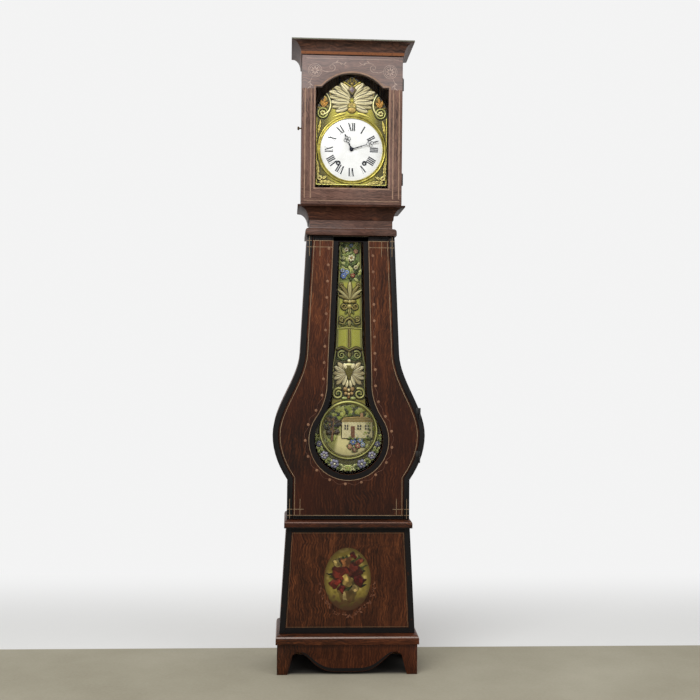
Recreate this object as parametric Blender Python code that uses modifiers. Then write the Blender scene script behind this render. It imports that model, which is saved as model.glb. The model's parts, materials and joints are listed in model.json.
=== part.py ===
"""Longcase clock of the Comtoise kind: violin-shaped case, embossed front plate and pendulum, two weights.

Metres, +Z up, the front looks to -Y. Each sub-part is one object in the collection morbier_clock.
"""

import math

import bmesh
import bpy
from mathutils import Matrix, Vector

# Fits
GAP = 0.0003
RUN = 0.0005
DOOR_GAP = 0.002

# Heights of the case, from the floor up
FOOT_HEIGHT = 0.112
PLINTH_THICK = 0.033
BASE_HEIGHT = 0.390
WAIST_THICK = 0.028
TRUNK_HEIGHT = 1.050
NECK_LEDGE_THICK = 0.026
FRIEZE_HEIGHT = 0.031
NECK_COVE_HEIGHT = 0.054
HEAD_HEIGHT = 0.552
CORNICE_HEIGHT = 0.051

# Half widths of the case
FOOT_HALF = 0.258
PLINTH_HALF = 0.2633
BASE_HALF_BOTTOM = 0.2505
BASE_HALF_TOP = 0.2283
WAIST_HALF = 0.2363
TRUNK_HALF_BOTTOM = 0.2270
CORNER_HALF = 0.2265
BELLY_HALF = 0.2822
SHOULDER_HALF = 0.1835
TRUNK_HALF_TOP = 0.1620
NECK_LEDGE_HALF = 0.1687
FRIEZE_HALF = 0.1535
COVE_HALF = 0.1570
NECK_LIP_HALF = 0.1983
HEAD_HALF = 0.1860
CORNICE_FOOT_HALF = 0.1900
CORNICE_HALF = 0.2256

# Heights on the trunk outline, above the bottom of the trunk
CORNER_RISE = 0.147
BELLY_RISE = 0.313
SHOULDER_RISE = 0.614
OUTLINE_STEPS = 14

# Depths: front faces of the case, and the wall side
BACK_Y = 0.145
PLINTH_FRONT = -0.145
FOOT_FRONT = -0.133
BASE_FRONT = -0.110
WAIST_FRONT = -0.128
TRUNK_FRONT = -0.100
NECK_LEDGE_FRONT = -0.116
FRIEZE_FRONT = -0.099
COVE_FRONT = -0.101
NECK_LIP_FRONT = -0.121
HEAD_FRONT = -0.110
CORNICE_FOOT_FRONT = -0.114
CORNICE_FRONT = -0.145

# Boards
BOARD = 0.020
BACK_BOARD = 0.018
BACK_LIFT = 0.002
HEAD_BOARD = 0.018
HEAD_DOOR_THICK = 0.022
GLASS = 0.003
NOSING = 0.012
LIP = 0.006

# Foot apron
FOOT_BOTTOM_WIDTH = 0.038
ARCH_X = 0.181
ARCH_HEIGHT = 0.084
ARCH_SHOULDER = 0.012
LOBE_HEIGHT = 0.010
SIDE_ARCH_HEIGHT = 0.070
SIDE_FOOT_WIDTH = 0.060

# Shaft through the frames, where pendulum and weights hang
SHAFT_HALF = 0.130
SHAFT_FRONT = -0.085
SHAFT_BACK = 0.100

# Window of the trunk door
WINDOW_HALF_TOP = 0.046
WINDOW_TOP_RAIL = 0.021
WINDOW_SPREAD = 0.0314
WINDOW_ROUND = 0.128
WINDOW_ROUND_RISE = 0.293
WINDOW_FILLET = 0.250
GLASS_LAP = 0.006

# Window of the head door
OPENING_HALF = 0.135
OPENING_BOTTOM = 0.064
OPENING_SHOULDER = 0.435
OPENING_ARCH_HALF = 0.1135
OPENING_ARCH_RISE = 0.052

# Lift-off hinges
HINGE_HALF_LENGTH = 0.022
KNUCKLE_RADIUS = 0.0030
HINGE_PIN_RADIUS = 0.0014
LEAF_THICK = 0.0014
LEAF_LENGTH = 0.007
TRUNK_HINGE_SPREAD = 0.080
HEAD_HINGE_INSET = 0.100
PULL_RADIUS = 0.007
PULL_LENGTH = 0.016
PULL_RISE = 0.281

# Movement: planes along Y, measured from the front face of the front plate
FRONT_PLATE_Y = -0.040
MOVEMENT_PLATE = 0.004
CAGE_DEPTH = 0.140
CAGE_HALF = 0.120
CAGE_PLATE_HALF = 0.078
CAGE_HEIGHT = 0.262
PILLAR = 0.010
SEAT_THICK = 0.028
SEAT_HALF = 0.150
SEAT_FRONT = -0.034
SEAT_BACK = 0.110
DIAL_RISE = 0.211
ESCAPE_RISE = 0.024
ANCHOR_RISE = 0.038
BARREL_X = 0.0485
BARREL_TO_WHEEL = 0.0035
PIN_WHEEL_STEP = 0.0105
THIRD_STEP = 0.010
ESCAPE_STEP = 0.016
DIAL_POST_RISE = 0.020
SLOT_HALF = 0.015
SINK = 0.001
FINE_SINK = 0.0002
THIRD_ANGLE = 50.0
PIN_WHEEL_ANGLE = 102.0

# Wheels
WHEEL_TEETH = 48
PINION_LEAVES = 6
PINION_LEAD = 0.003
GREAT_MODULE = 0.0018
THIRD_MODULE = 0.0015
MESH_SLACK = 0.15
WHEEL_THICK = 0.004
ARBOR_RADIUS = 0.002
PIVOT_INTO_PLATE = 0.003
ESCAPE_TEETH = 30
ESCAPE_RADIUS = 0.024
ESCAPE_TOOTH = 0.004
PALLET_CLEAR = 0.0025
PALLET_THICK = 0.005
PALLET_SPAN = 58.0
ANCHOR_NECK_HALF = 0.004
CRUTCH_CLEAR = 0.0015
CRUTCH_THICK = 0.004
CRUTCH_HALF = 0.003
CRUTCH_DROP = 0.030
CRUTCH_END = 0.004
CRUTCH_PIN = 0.0012
COCK_CLEAR = 0.005
COCK_THICK = 0.003
COCK_HALF = 0.008
COCK_FOOT = 0.006
COCK_ARM = 0.030
HAMMER_PINS = 8
HAMMER_PIN_CIRCLE = 0.028
HAMMER_PIN_RADIUS = 0.0015
HAMMER_PIN_LENGTH = 0.006
HAMMER_TAIL_STEP = 0.010
HAMMER_TAIL_RISE = 0.006
FLY_RADIUS = 0.025
FLY_LENGTH = 0.024
FLY_VANE_THICK = 0.0012

# Motion work behind the dial
CANNON_TEETH = 12
MINUTE_TEETH = 36
MINUTE_PINION_TEETH = 10
HOUR_TEETH = 40
CANNON_MODULE = 0.00125
MOTION_THICK = 0.0035
CANNON_STEP = 0.007
MOTION_CLEAR = 0.0015
PIPE_COLLAR = 0.0005
HAND_ARBOR_RADIUS = 0.003
PIPE_WALL = 0.0014

# Barrels, lines and weights
BARREL_RADIUS = 0.0275
BARREL_FLANGE = 0.032
FLANGE_THICK = 0.003
BARREL_LENGTH = 0.060
BARREL_INSET = 0.014
BARREL_ARBOR = 0.004
WINDING_SQUARE = 0.0062
ARBOR_STUB = 0.004
SQUARE_LEAD = 0.001
LINE_RADIUS = 0.0015
WEIGHT_RADIUS = 0.040
WEIGHT_HEIGHT = 0.160
WEIGHT_FLOOR_CLEAR = 0.060
WEIGHT_NECK = 0.030
WEIGHT_NECK_RADIUS = 0.0035
WEIGHT_SHOULDER = 0.004

# Dial, front plate and hands
DIAL_RADIUS = 0.1175
DIAL_SIGHT = 0.1155
DIAL_THICK = 0.002
DIAL_DOME = 0.005
DIAL_BACK_Y = -0.0715
FRONTON_HALF = 0.133
FRONTON_DROP = 0.135
FRONTON_SHOULDER = 0.118
FRONTON_CREST = 0.272
FRONTON_THICK = 0.002
BEZEL_OUTER = 0.130
BEZEL_HEIGHT = 0.0035
WINDING_HOLE = 0.007
HAND_THICK = 0.0015
HOUR_HAND_CLEAR = 0.0033
HAND_CLEAR = 0.0017
HAND_ARBOR_END = 0.0012
HAND_RIM = 0.003
HOUR_HAND_LENGTH = 0.063
MINUTE_HAND_LENGTH = 0.108
HAND_HUB = 0.0085
HAND_STEM = 0.0022
HAND_ROSE = 0.011
SHOWN_HOUR_ANGLE = 336.0
SHOWN_MINUTE_ANGLE = 72.0

# Pendulum
ROD_Y = -0.051
ROD_THICK = 0.003
ROD_HALF = 0.005
ROD_EYE = 0.0075
ROD_PEG = 0.002
ROD_RING = 0.016
ROD_RING_BORE = 0.011
PENDULUM_THICK = 0.004
BOB_RISE = -1.138
BOB_RADIUS = 0.124
LENS_RADIUS = 0.068
LENS_THICK = 0.012
PLATE_TOP_DROP = 0.400
PLATE_HALF_TOP = 0.040
PLATE_HALF_MIDDLE = 0.050
PLATE_HALF_SHELL = 0.062

# Bell
BELL_RADIUS = 0.058
BELL_HEIGHT = 0.046
BELL_WALL = 0.003
BELL_CLEAR = 0.020
BELL_Y = 0.034
BELL_POST = 0.004
BELL_POST_END = 0.008
HAMMER_RISE = 0.010
HAMMER_END = 0.006
HAMMER_GAP = 0.003
HAMMER_HEAD = 0.009
HAMMER_ARM = 0.063


# Heights that follow from the driving dimensions
PLINTH_Z = FOOT_HEIGHT + GAP
BASE_Z = PLINTH_Z + PLINTH_THICK + GAP
WAIST_Z = BASE_Z + BASE_HEIGHT + GAP
TRUNK_Z = WAIST_Z + WAIST_THICK + GAP
TRUNK_TOP = TRUNK_Z + TRUNK_HEIGHT
NECK_Z = TRUNK_TOP + GAP
COVE_Z = NECK_Z + NECK_LEDGE_THICK + FRIEZE_HEIGHT + GAP
HEAD_Z = COVE_Z + NECK_COVE_HEIGHT + GAP
HEAD_TOP = HEAD_Z + HEAD_HEIGHT
CORNICE_Z = HEAD_TOP + GAP
INNER_BACK = BACK_Y - BACK_BOARD - GAP
BELLY_Z = TRUNK_Z + BELLY_RISE

SEAT_TOP = HEAD_Z + SEAT_THICK
CAGE_Z = SEAT_TOP + GAP
CAGE_TOP = CAGE_Z + CAGE_HEIGHT
DIAL_Z = HEAD_Z + DIAL_RISE
ESCAPE_Z = DIAL_Z + ESCAPE_RISE
ANCHOR_Z = ESCAPE_Z + ANCHOR_RISE
BOB_Z = ANCHOR_Z + BOB_RISE
REAR_PLATE_Y = FRONT_PLATE_Y + CAGE_DEPTH - MOVEMENT_PLATE
FRONT_INNER = FRONT_PLATE_Y + MOVEMENT_PLATE
GREAT_DISTANCE = GREAT_MODULE * ((WHEEL_TEETH + PINION_LEAVES) / 2 + MESH_SLACK)
THIRD_DISTANCE = THIRD_MODULE * ((WHEEL_TEETH + PINION_LEAVES) / 2 + MESH_SLACK)

ESCAPE_AT = (0.0, ESCAPE_Z)
THIRD_AT = (
    THIRD_DISTANCE * math.cos(math.radians(THIRD_ANGLE)),
    ESCAPE_Z - THIRD_DISTANCE * math.sin(math.radians(THIRD_ANGLE)),
)
BARREL_Z = THIRD_AT[1] - math.sqrt(GREAT_DISTANCE**2 - (BARREL_X - THIRD_AT[0]) ** 2)
GOING_AT = (BARREL_X, BARREL_Z)
STRIKE_AT = (-BARREL_X, BARREL_Z)
PIN_WHEEL_AT = (
    -BARREL_X + GREAT_DISTANCE * math.cos(math.radians(PIN_WHEEL_ANGLE)),
    BARREL_Z + GREAT_DISTANCE * math.sin(math.radians(PIN_WHEEL_ANGLE)),
)
FLY_AT = (PIN_WHEEL_AT[0], PIN_WHEEL_AT[1] + THIRD_DISTANCE)
ANCHOR_AT = (0.0, ANCHOR_Z)
HANDS_AT = (0.0, DIAL_Z)
CANNON_DISTANCE = CANNON_MODULE * ((CANNON_TEETH + MINUTE_TEETH) / 2 + MESH_SLACK)
HOUR_MODULE = CANNON_DISTANCE / ((MINUTE_PINION_TEETH + HOUR_TEETH) / 2 + MESH_SLACK)
MINUTE_AT = (-CANNON_DISTANCE, DIAL_Z)

# Planes of the wheels along Y
BARREL_Y = FRONT_INNER + BARREL_INSET
GREAT_Y = BARREL_Y + BARREL_LENGTH + BARREL_TO_WHEEL
THIRD_PINION_Y = GREAT_Y - PINION_LEAD
PINION_LENGTH = WHEEL_THICK + 2 * PINION_LEAD
PIN_WHEEL_Y = GREAT_Y + WHEEL_THICK + PIN_WHEEL_STEP
THIRD_Y = PIN_WHEEL_Y + THIRD_STEP
ESCAPE_Y = THIRD_Y + ESCAPE_STEP
CANNON_Y = ROD_Y - ROD_THICK / 2 - CANNON_STEP
HOUR_WHEEL_Y = CANNON_Y - MOTION_THICK - MOTION_CLEAR
DIAL_RIM_Y = DIAL_BACK_Y - DIAL_THICK
HOUR_HAND_Y = DIAL_RIM_Y - DIAL_DOME - HOUR_HAND_CLEAR
MINUTE_HAND_Y = HOUR_HAND_Y - HAND_THICK - HAND_CLEAR
LINE_X = BARREL_X + BARREL_RADIUS + LINE_RADIUS
LINE_Y = BARREL_Y + BARREL_LENGTH / 2
WEIGHT_Z = BASE_Z + WEIGHT_FLOOR_CLEAR
LINE_Z = WEIGHT_Z + WEIGHT_HEIGHT + WEIGHT_NECK + GAP
FRONTON_Y = DIAL_RIM_Y - GAP - FRONTON_THICK
BEZEL_Y = FRONTON_Y - BEZEL_HEIGHT

# Hinge axes
TRUNK_HINGE_X = BELLY_HALF - BOARD
TRUNK_HINGE_Y = TRUNK_FRONT - KNUCKLE_RADIUS - GAP
HEAD_HINGE_X = HEAD_HALF + KNUCKLE_RADIUS + GAP
HEAD_HINGE_Y = HEAD_FRONT + HEAD_DOOR_THICK + GAP / 2
HEAD_INNER_FRONT = HEAD_FRONT + HEAD_DOOR_THICK + GAP


# Scene and materials
for old in list(bpy.data.objects):
    bpy.data.objects.remove(old, do_unlink=True)
PARTS = bpy.data.collections.new("morbier_clock")
HELPERS = bpy.data.collections.new("cutters")
bpy.context.scene.collection.children.link(PARTS)
bpy.context.scene.collection.children.link(HELPERS)
bpy.context.scene.unit_settings.system = "METRIC"


def material(name, colour, roughness, metallic=0.0):
    made = bpy.data.materials.new(name)
    made.use_nodes = True
    shader = made.node_tree.nodes["Principled BSDF"]
    shader.inputs["Base Color"].default_value = (*colour, 1.0)
    shader.inputs["Roughness"].default_value = roughness
    shader.inputs["Metallic"].default_value = metallic
    made.diffuse_color = (*colour, 1.0)
    return made


WOOD = material("grained_wood", (0.11, 0.045, 0.03), 0.45)
BACKING = material("plain_wood", (0.20, 0.12, 0.07), 0.70)
PANE = material("window_glass", (0.85, 0.90, 0.90), 0.05)
BRASS = material("brass", (0.62, 0.46, 0.16), 0.35, 1.0)
IRON = material("iron", (0.10, 0.10, 0.10), 0.55, 1.0)
STEEL = material("blued_steel", (0.05, 0.06, 0.12), 0.35, 1.0)
ENAMEL = material("enamel", (0.90, 0.90, 0.88), 0.20)
BELL_METAL = material("bell_metal", (0.55, 0.45, 0.25), 0.35, 1.0)
LEAD = material("cast_iron", (0.16, 0.16, 0.17), 0.65, 1.0)
CORD = material("line", (0.45, 0.36, 0.24), 0.90)


# Building blocks
def add(name, data, matrix, mat, parent=None):
    made = bpy.data.objects.new(name, data)
    PARTS.objects.link(made)
    made.matrix_world = matrix
    if mat is not None:
        data.materials.append(mat)
    if parent is not None:
        made.parent = parent
        made.matrix_parent_inverse = parent.matrix_world.inverted()
    return made


def pivot(name, location):
    empty = bpy.data.objects.new(name, None)
    PARTS.objects.link(empty)
    empty.location = location
    empty.matrix_world = Matrix.Translation(location)
    return empty


UPRIGHT = Matrix.Rotation(math.pi / 2, 4, "X")
SIDEWAYS = Matrix.Rotation(math.pi / 2, 4, "Z") @ UPRIGHT


def flat_curve(name, loops, thick):
    """Filled outline in local XY, extruded by half of thick to both sides."""
    curve = bpy.data.curves.new(name, "CURVE")
    curve.dimensions = "2D"
    curve.fill_mode = "BOTH"
    curve.extrude = thick / 2
    for loop in loops:
        spline = curve.splines.new("POLY")
        spline.points.add(len(loop) - 1)
        spline.use_cyclic_u = True
        for point, (u, v) in zip(spline.points, loop):
            point.co = (u, v, 0.0, 1.0)
    return curve


def plate(name, outline, front, thick, mat, holes=(), parent=None):
    """Board in the XZ plane whose front face lies at y = front."""
    curve = flat_curve(name, [outline, *holes], thick)
    matrix = Matrix.Translation((0.0, front + thick / 2, 0.0)) @ UPRIGHT
    return add(name, curve, matrix, mat, parent)


def side_plate(name, outline, x, thick, mat):
    """Board in the YZ plane, centred on x."""
    curve = flat_curve(name, [outline], thick)
    return add(name, curve, Matrix.Translation((x, 0.0, 0.0)) @ SIDEWAYS, mat)


def level_plate(name, outline, bottom, thick, mat, holes=(), parent=None):
    """Board in the XY plane that stands on z = bottom."""
    curve = flat_curve(name, [outline, *holes], thick)
    return add(name, curve, Matrix.Translation((0.0, 0.0, bottom + thick / 2)), mat, parent)


def as_mesh(made):
    """The curve object as a mesh object of the same name, with its caps welded on."""
    bpy.context.view_layer.update()
    evaluated = made.evaluated_get(bpy.context.evaluated_depsgraph_get())
    mesh = bpy.data.meshes.new_from_object(evaluated)
    shell = bmesh.new()
    shell.from_mesh(mesh)
    bmesh.ops.remove_doubles(shell, verts=shell.verts, dist=1e-6)
    shell.to_mesh(mesh)
    shell.free()
    name, matrix, parent = made.name, made.matrix_world.copy(), made.parent
    bpy.data.objects.remove(made, do_unlink=True)
    return add(name, mesh, matrix, None, parent)


def solid(name, shell, mat, parent=None):
    """Object from a bmesh, with its faces turned outwards."""
    bmesh.ops.recalc_face_normals(shell, faces=shell.faces)
    mesh = bpy.data.meshes.new(name)
    shell.to_mesh(mesh)
    shell.free()
    return add(name, mesh, Matrix.Identity(4), mat, parent)


def box(name, low, high, mat, parent=None):
    shell = bmesh.new()
    size = Vector(high) - Vector(low)
    middle = (Vector(high) + Vector(low)) / 2
    bmesh.ops.create_cube(shell, size=1.0)
    bmesh.ops.scale(shell, vec=size, verts=shell.verts)
    bmesh.ops.translate(shell, vec=middle, verts=shell.verts)
    return solid(name, shell, mat, parent)


def rod(name, start, end, radius, mat, sides=12, parent=None):
    """Round bar between two points."""
    shell = bmesh.new()
    start, end = Vector(start), Vector(end)
    along = end - start
    turn = Vector((0.0, 0.0, 1.0)).rotation_difference(along).to_matrix().to_4x4()
    bmesh.ops.create_cone(
        shell,
        cap_ends=True,
        segments=sides,
        radius1=radius,
        radius2=radius,
        depth=along.length,
        matrix=Matrix.Translation((start + end) / 2) @ turn,
    )
    return solid(name, shell, mat, parent)


def turned(name, profile, at, axis, mat, steps=32, parent=None):
    """Profile of (radius, position) pairs turned round the Y or Z axis through at."""
    sign = -1.0 if axis == "Y" else 1.0
    mesh = bpy.data.meshes.new(name)
    points = [(radius, 0.0, sign * position) for radius, position in profile]
    edges = [(i, i + 1) for i in range(len(points) - 1)]
    if profile[0][0] > 0.0:
        edges.append((len(points) - 1, 0))
    mesh.from_pydata(points, edges, [])
    turn = UPRIGHT if axis == "Y" else Matrix.Identity(4)
    middle = (at[0], 0.0, at[1]) if axis == "Y" else (at[0], at[1], 0.0)
    made = add(name, mesh, Matrix.Translation(middle) @ turn, mat, parent)
    screw = made.modifiers.new("turn", "SCREW")
    screw.axis = "Z"
    screw.steps = steps
    screw.render_steps = steps
    screw.use_merge_vertices = True
    screw.merge_threshold = 1e-5
    screw.use_smooth_shade = False
    return made


def combine(made, others, operation):
    for other in others:
        boolean = made.modifiers.new(other.name, "BOOLEAN")
        boolean.operation = operation
        boolean.solver = "EXACT"
        boolean.object = other
        for owner in list(other.users_collection):
            owner.objects.unlink(other)
        HELPERS.objects.link(other)
        other.hide_render = True
        other.display_type = "WIRE"
    return made


def fuse(made, *others):
    return combine(made, others, "UNION")


def cut(made, *others):
    return combine(made, others, "DIFFERENCE")


def circle(centre, radius, sides=24):
    turns = [2 * math.pi * i / sides for i in range(sides)]
    return [(centre[0] + radius * math.cos(a), centre[1] + radius * math.sin(a)) for a in turns]


def rectangle(low, high):
    return [low, (high[0], low[1]), high, (low[0], high[1])]


def mirrored(half):
    """Closed outline from the right-hand points, running upwards, and their mirror images."""
    return half + [(-x, z) for x, z in reversed(half) if x > 1e-9]


def inset(points, distance):
    """Open line moved to its left by distance, with mitred corners."""
    moved = []
    for i, point in enumerate(points):
        before = Vector(points[max(i - 1, 0)])
        after = Vector(points[min(i + 1, len(points) - 1)])
        here = Vector(point)
        directions = [step.normalized() for step in (here - before, after - here) if step.length]
        normals = [Vector((-step.y, step.x)) for step in directions]
        middle = sum(normals, Vector((0.0, 0.0))).normalized()
        moved.append(here + middle * (distance / middle.dot(normals[0])))
    return [tuple(point) for point in moved]


def moulding(name, rings, back, mat, hole=None):
    """Mitred moulding: rings of (half width, front, height) with a flat back and an open middle."""
    shell = bmesh.new()

    def loop(half, front, rear, z):
        corners = ((-half, front), (half, front), (half, rear), (-half, rear))
        return [shell.verts.new((x, y, z)) for x, y in corners]

    loops = [loop(half, front, back, z) for half, front, z in rings]
    if hole:
        loops.append(loop(*hole, rings[-1][2]))
        loops.append(loop(*hole, rings[0][2]))
        loops.append(loops[0])
    else:
        shell.faces.new(loops[0])
        shell.faces.new(loops[-1])
    for lower, upper in zip(loops, loops[1:]):
        for i in range(4):
            j = (i + 1) % 4
            shell.faces.new((lower[i], lower[j], upper[j], upper[i]))
    return solid(name, shell, mat)


def rounded_edge(half, front, low, high, radius, steps=4):
    """Rings of a board whose upper edge is a quarter round."""
    rings = [(half, front, low)]
    for i in range(steps + 1):
        angle = math.pi / 2 * i / steps
        back_off = radius * (1 - math.cos(angle))
        rings.append((half - back_off, front + back_off, high - radius + radius * math.sin(angle)))
    return rings


def cove(half, front, low, top_half, top_front, high, steps=6):
    """Rings of a hollow moulding that spreads upwards to a thin lip."""
    rings = []
    lip_low = high - LIP
    for i in range(steps + 1):
        angle = math.pi / 2 * i / steps
        share = 0.9 * (1 - math.cos(angle))
        rise = math.sin(angle)
        ring_half = half + share * (top_half - half)
        ring_front = front + share * (top_front - front)
        rings.append((ring_half, ring_front, low + rise * (lip_low - low)))
    rings[-1] = (rings[-1][0], rings[-1][1], lip_low - SINK)
    rings.append((top_half, top_front, lip_low))
    rings.append((top_half, top_front, high))
    return rings


def tooth_ring(teeth, module, centre, phase, add_height, tip, root):
    """Outline of a toothed wheel, with one tooth pointing at the angle phase."""
    pitch = 2 * math.pi / teeth
    outer = module * (teeth / 2 + add_height)
    inner = module * (teeth / 2 - 1.32)
    points = []
    for i in range(teeth):
        angle = phase + i * pitch
        corners = ((inner, -root), (outer, -tip), (outer, tip), (inner, root))
        for radius, share in corners:
            turn = angle + share * pitch
            points.append((centre[0] + radius * math.cos(turn), centre[1] + radius * math.sin(turn)))
    return points


def wheel_ring(teeth, module, centre, phase):
    return tooth_ring(teeth, module, centre, phase, 0.9, 0.10, 0.26)


def pinion_ring(teeth, module, centre, phase):
    return tooth_ring(teeth, module, centre, phase, 1.0, 0.10, 0.20)


def heading(start, end):
    return math.atan2(end[1] - start[1], end[0] - start[0])


def gear(name, outline, y, thick, mat, holes=(), parent=None):
    return as_mesh(plate(name, outline, y, thick, mat, holes, parent))


# Outlines of the trunk and of its door
def trunk_flank(steps=OUTLINE_STEPS):
    """Right-hand outline of the trunk from bottom to top: foot, corner, belly, shoulder, top."""
    corner_z = TRUNK_Z + CORNER_RISE
    shoulder_z = TRUNK_Z + SHOULDER_RISE
    points = [(TRUNK_HALF_BOTTOM, TRUNK_Z)]
    for i in range(steps // 2 + 1):
        share = i / (steps // 2)
        bulge = 1 - (1 - share) ** 2
        x = CORNER_HALF + (BELLY_HALF - CORNER_HALF) * bulge
        points.append((x, corner_z + share * (BELLY_Z - corner_z)))
    taper = (SHOULDER_HALF - TRUNK_HALF_TOP) / (TRUNK_TOP - shoulder_z)
    end_slope = -taper * (shoulder_z - BELLY_Z)
    for i in range(1, steps + 1):
        t = i / steps
        start_share = 2 * t**3 - 3 * t**2 + 1
        half = start_share * BELLY_HALF + (1 - start_share) * SHOULDER_HALF + (t**3 - t**2) * end_slope
        points.append((half, BELLY_Z + t * (shoulder_z - BELLY_Z)))
    points.append((TRUNK_HALF_TOP, TRUNK_TOP))
    return points


def window_flank(grow=0.0, steps=8):
    """Right-hand outline of the pear-shaped window from its lowest point up to its top corner."""
    round_z = TRUNK_Z + WINDOW_ROUND_RISE
    top_z = TRUNK_TOP - DOOR_GAP - WINDOW_TOP_RAIL
    fillet = WINDOW_FILLET - grow
    radius = WINDOW_ROUND + grow
    lean = math.hypot(1.0, WINDOW_SPREAD)

    def edge(z):
        return WINDOW_HALF_TOP + grow * lean + WINDOW_SPREAD * (top_z - z)

    low, high = round_z, top_z
    for _ in range(40):
        z = (low + high) / 2
        reach = math.hypot(edge(z) + fillet * lean, z - round_z)
        low, high = (low, z) if reach > radius + fillet else (z, high)
    centre = (edge(low) + fillet * lean, low)
    meet = math.atan2(centre[1] - round_z, centre[0])
    points = []
    for i in range(2 * steps + 1):
        angle = -math.pi / 2 + (meet + math.pi / 2) * i / (2 * steps)
        points.append((radius * math.cos(angle), round_z + radius * math.sin(angle)))
    last = math.pi - math.atan(WINDOW_SPREAD)
    for i in range(1, steps + 1):
        angle = math.pi + meet + (last - math.pi - meet) * i / steps
        points.append((centre[0] + fillet * math.cos(angle), centre[1] + fillet * math.sin(angle)))
    points.append((edge(top_z + grow), top_z + grow))
    return points


def head_opening(shrink=0.0, steps=10):
    """Right-hand outline of the arched opening of the head door, from its lower edge to its crown."""
    shoulder_z = HEAD_Z + OPENING_SHOULDER - shrink
    radius = (OPENING_ARCH_HALF**2 + OPENING_ARCH_RISE**2) / (2 * OPENING_ARCH_RISE)
    centre_z = HEAD_Z + OPENING_SHOULDER + OPENING_ARCH_RISE - radius
    radius -= shrink
    start = math.asin((shoulder_z - centre_z) / radius)
    points = [
        (OPENING_HALF - shrink, HEAD_Z + OPENING_BOTTOM + shrink),
        (OPENING_HALF - shrink, shoulder_z),
    ]
    for i in range(steps):
        angle = start + (math.pi / 2 - start) * i / steps
        points.append((radius * math.cos(angle), centre_z + radius * math.sin(angle)))
    points.append((0.0, centre_z + radius))
    return points


# Foot: front apron and two side brackets
def apron_outline():
    steps = 16
    inner = FOOT_HALF - FOOT_BOTTOM_WIDTH
    lower = [(0.0, LOBE_HEIGHT)]
    for i in range(1, steps + 1):
        share = i / steps
        swing = (1 - math.cos(math.pi * share**2)) / 2
        lower.append((ARCH_X * share, LOBE_HEIGHT + (ARCH_HEIGHT - LOBE_HEIGHT) * swing))
    lower.append((ARCH_X + (inner - ARCH_X) * 0.5, ARCH_HEIGHT - ARCH_SHOULDER))
    lower.append((inner, 0.0))
    lower.append((FOOT_HALF, 0.0))
    lower.append((FOOT_HALF, FOOT_HEIGHT))
    return mirrored(lower)


def bracket_outline():
    front = FOOT_FRONT + BOARD + GAP
    steps = 8
    points = [(front, 0.0), (front + SIDE_FOOT_WIDTH, 0.0)]
    left, right = front + SIDE_FOOT_WIDTH, INNER_BACK - SIDE_FOOT_WIDTH
    for i in range(1, steps):
        share = i / steps
        points.append((left + share * (right - left), SIDE_ARCH_HEIGHT * math.sin(math.pi * share) ** 0.6))
    points += [(right, 0.0), (INNER_BACK, 0.0), (INNER_BACK, FOOT_HEIGHT), (front, FOOT_HEIGHT)]
    return points


plate("foot_apron", apron_outline(), FOOT_FRONT, BOARD, WOOD)
for side, sign in (("left", -1), ("right", 1)):
    side_plate(f"foot_side_{side}", bracket_outline(), sign * (FOOT_HALF - BOARD / 2), BOARD, WOOD)
moulding(
    "plinth_ledge",
    rounded_edge(PLINTH_HALF, PLINTH_FRONT, PLINTH_Z, PLINTH_Z + PLINTH_THICK, NOSING),
    INNER_BACK,
    WOOD,
)


# Base: front panel held between two leaning side boards
def base_flank(set_in):
    return [(BASE_HALF_BOTTOM - set_in, BASE_Z), (BASE_HALF_TOP - set_in, BASE_Z + BASE_HEIGHT)]


plate("base_front_panel", mirrored(base_flank(BOARD + GAP)), BASE_FRONT, BOARD, WOOD)
base_board = base_flank(0.0) + list(reversed(base_flank(BOARD)))
for side, sign in (("left", -1), ("right", 1)):
    outline = [(sign * x, z) for x, z in base_board]
    plate(f"base_side_{side}", outline, BASE_FRONT, INNER_BACK - BASE_FRONT, WOOD)
moulding(
    "waist_ledge",
    rounded_edge(WAIST_HALF, WAIST_FRONT, WAIST_Z, WAIST_Z + WAIST_THICK, NOSING),
    INNER_BACK,
    WOOD,
    (SHAFT_HALF, SHAFT_FRONT, SHAFT_BACK),
)

# Trunk: bent side boards, one back board from the floor to the neck
flank = trunk_flank()
trunk_board = flank + list(reversed(inset(flank, BOARD)))
trunk_board = [(x, min(max(z, TRUNK_Z), TRUNK_TOP)) for x, z in trunk_board]
for side, sign in (("left", -1), ("right", 1)):
    outline = [(sign * x, z) for x, z in trunk_board]
    plate(f"trunk_side_{side}", outline, TRUNK_FRONT, INNER_BACK - TRUNK_FRONT, WOOD)
back_foot = [(BASE_HALF_BOTTOM - GAP, BACK_LIFT)]
back_outline = mirrored(back_foot + base_flank(GAP) + [(x - GAP, z) for x, z in flank])
plate("case_back", back_outline, BACK_Y - BACK_BOARD, BACK_BOARD, BACKING)

# Neck: ledge with its frieze, and the cove, both open in the middle
SHAFT = (SHAFT_HALF, SHAFT_FRONT, SHAFT_BACK)
neck_rings = rounded_edge(
    NECK_LEDGE_HALF, NECK_LEDGE_FRONT, NECK_Z, NECK_Z + NECK_LEDGE_THICK, NOSING
)
neck_rings.append((FRIEZE_HALF, FRIEZE_FRONT, NECK_Z + NECK_LEDGE_THICK))
neck_rings.append((FRIEZE_HALF, FRIEZE_FRONT, COVE_Z - GAP))
moulding("neck_ledge", neck_rings, BACK_Y, WOOD, SHAFT)
moulding(
    "neck_cove",
    cove(COVE_HALF, COVE_FRONT, COVE_Z, NECK_LIP_HALF, NECK_LIP_FRONT, COVE_Z + NECK_COVE_HEIGHT),
    BACK_Y,
    WOOD,
    SHAFT,
)

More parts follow.
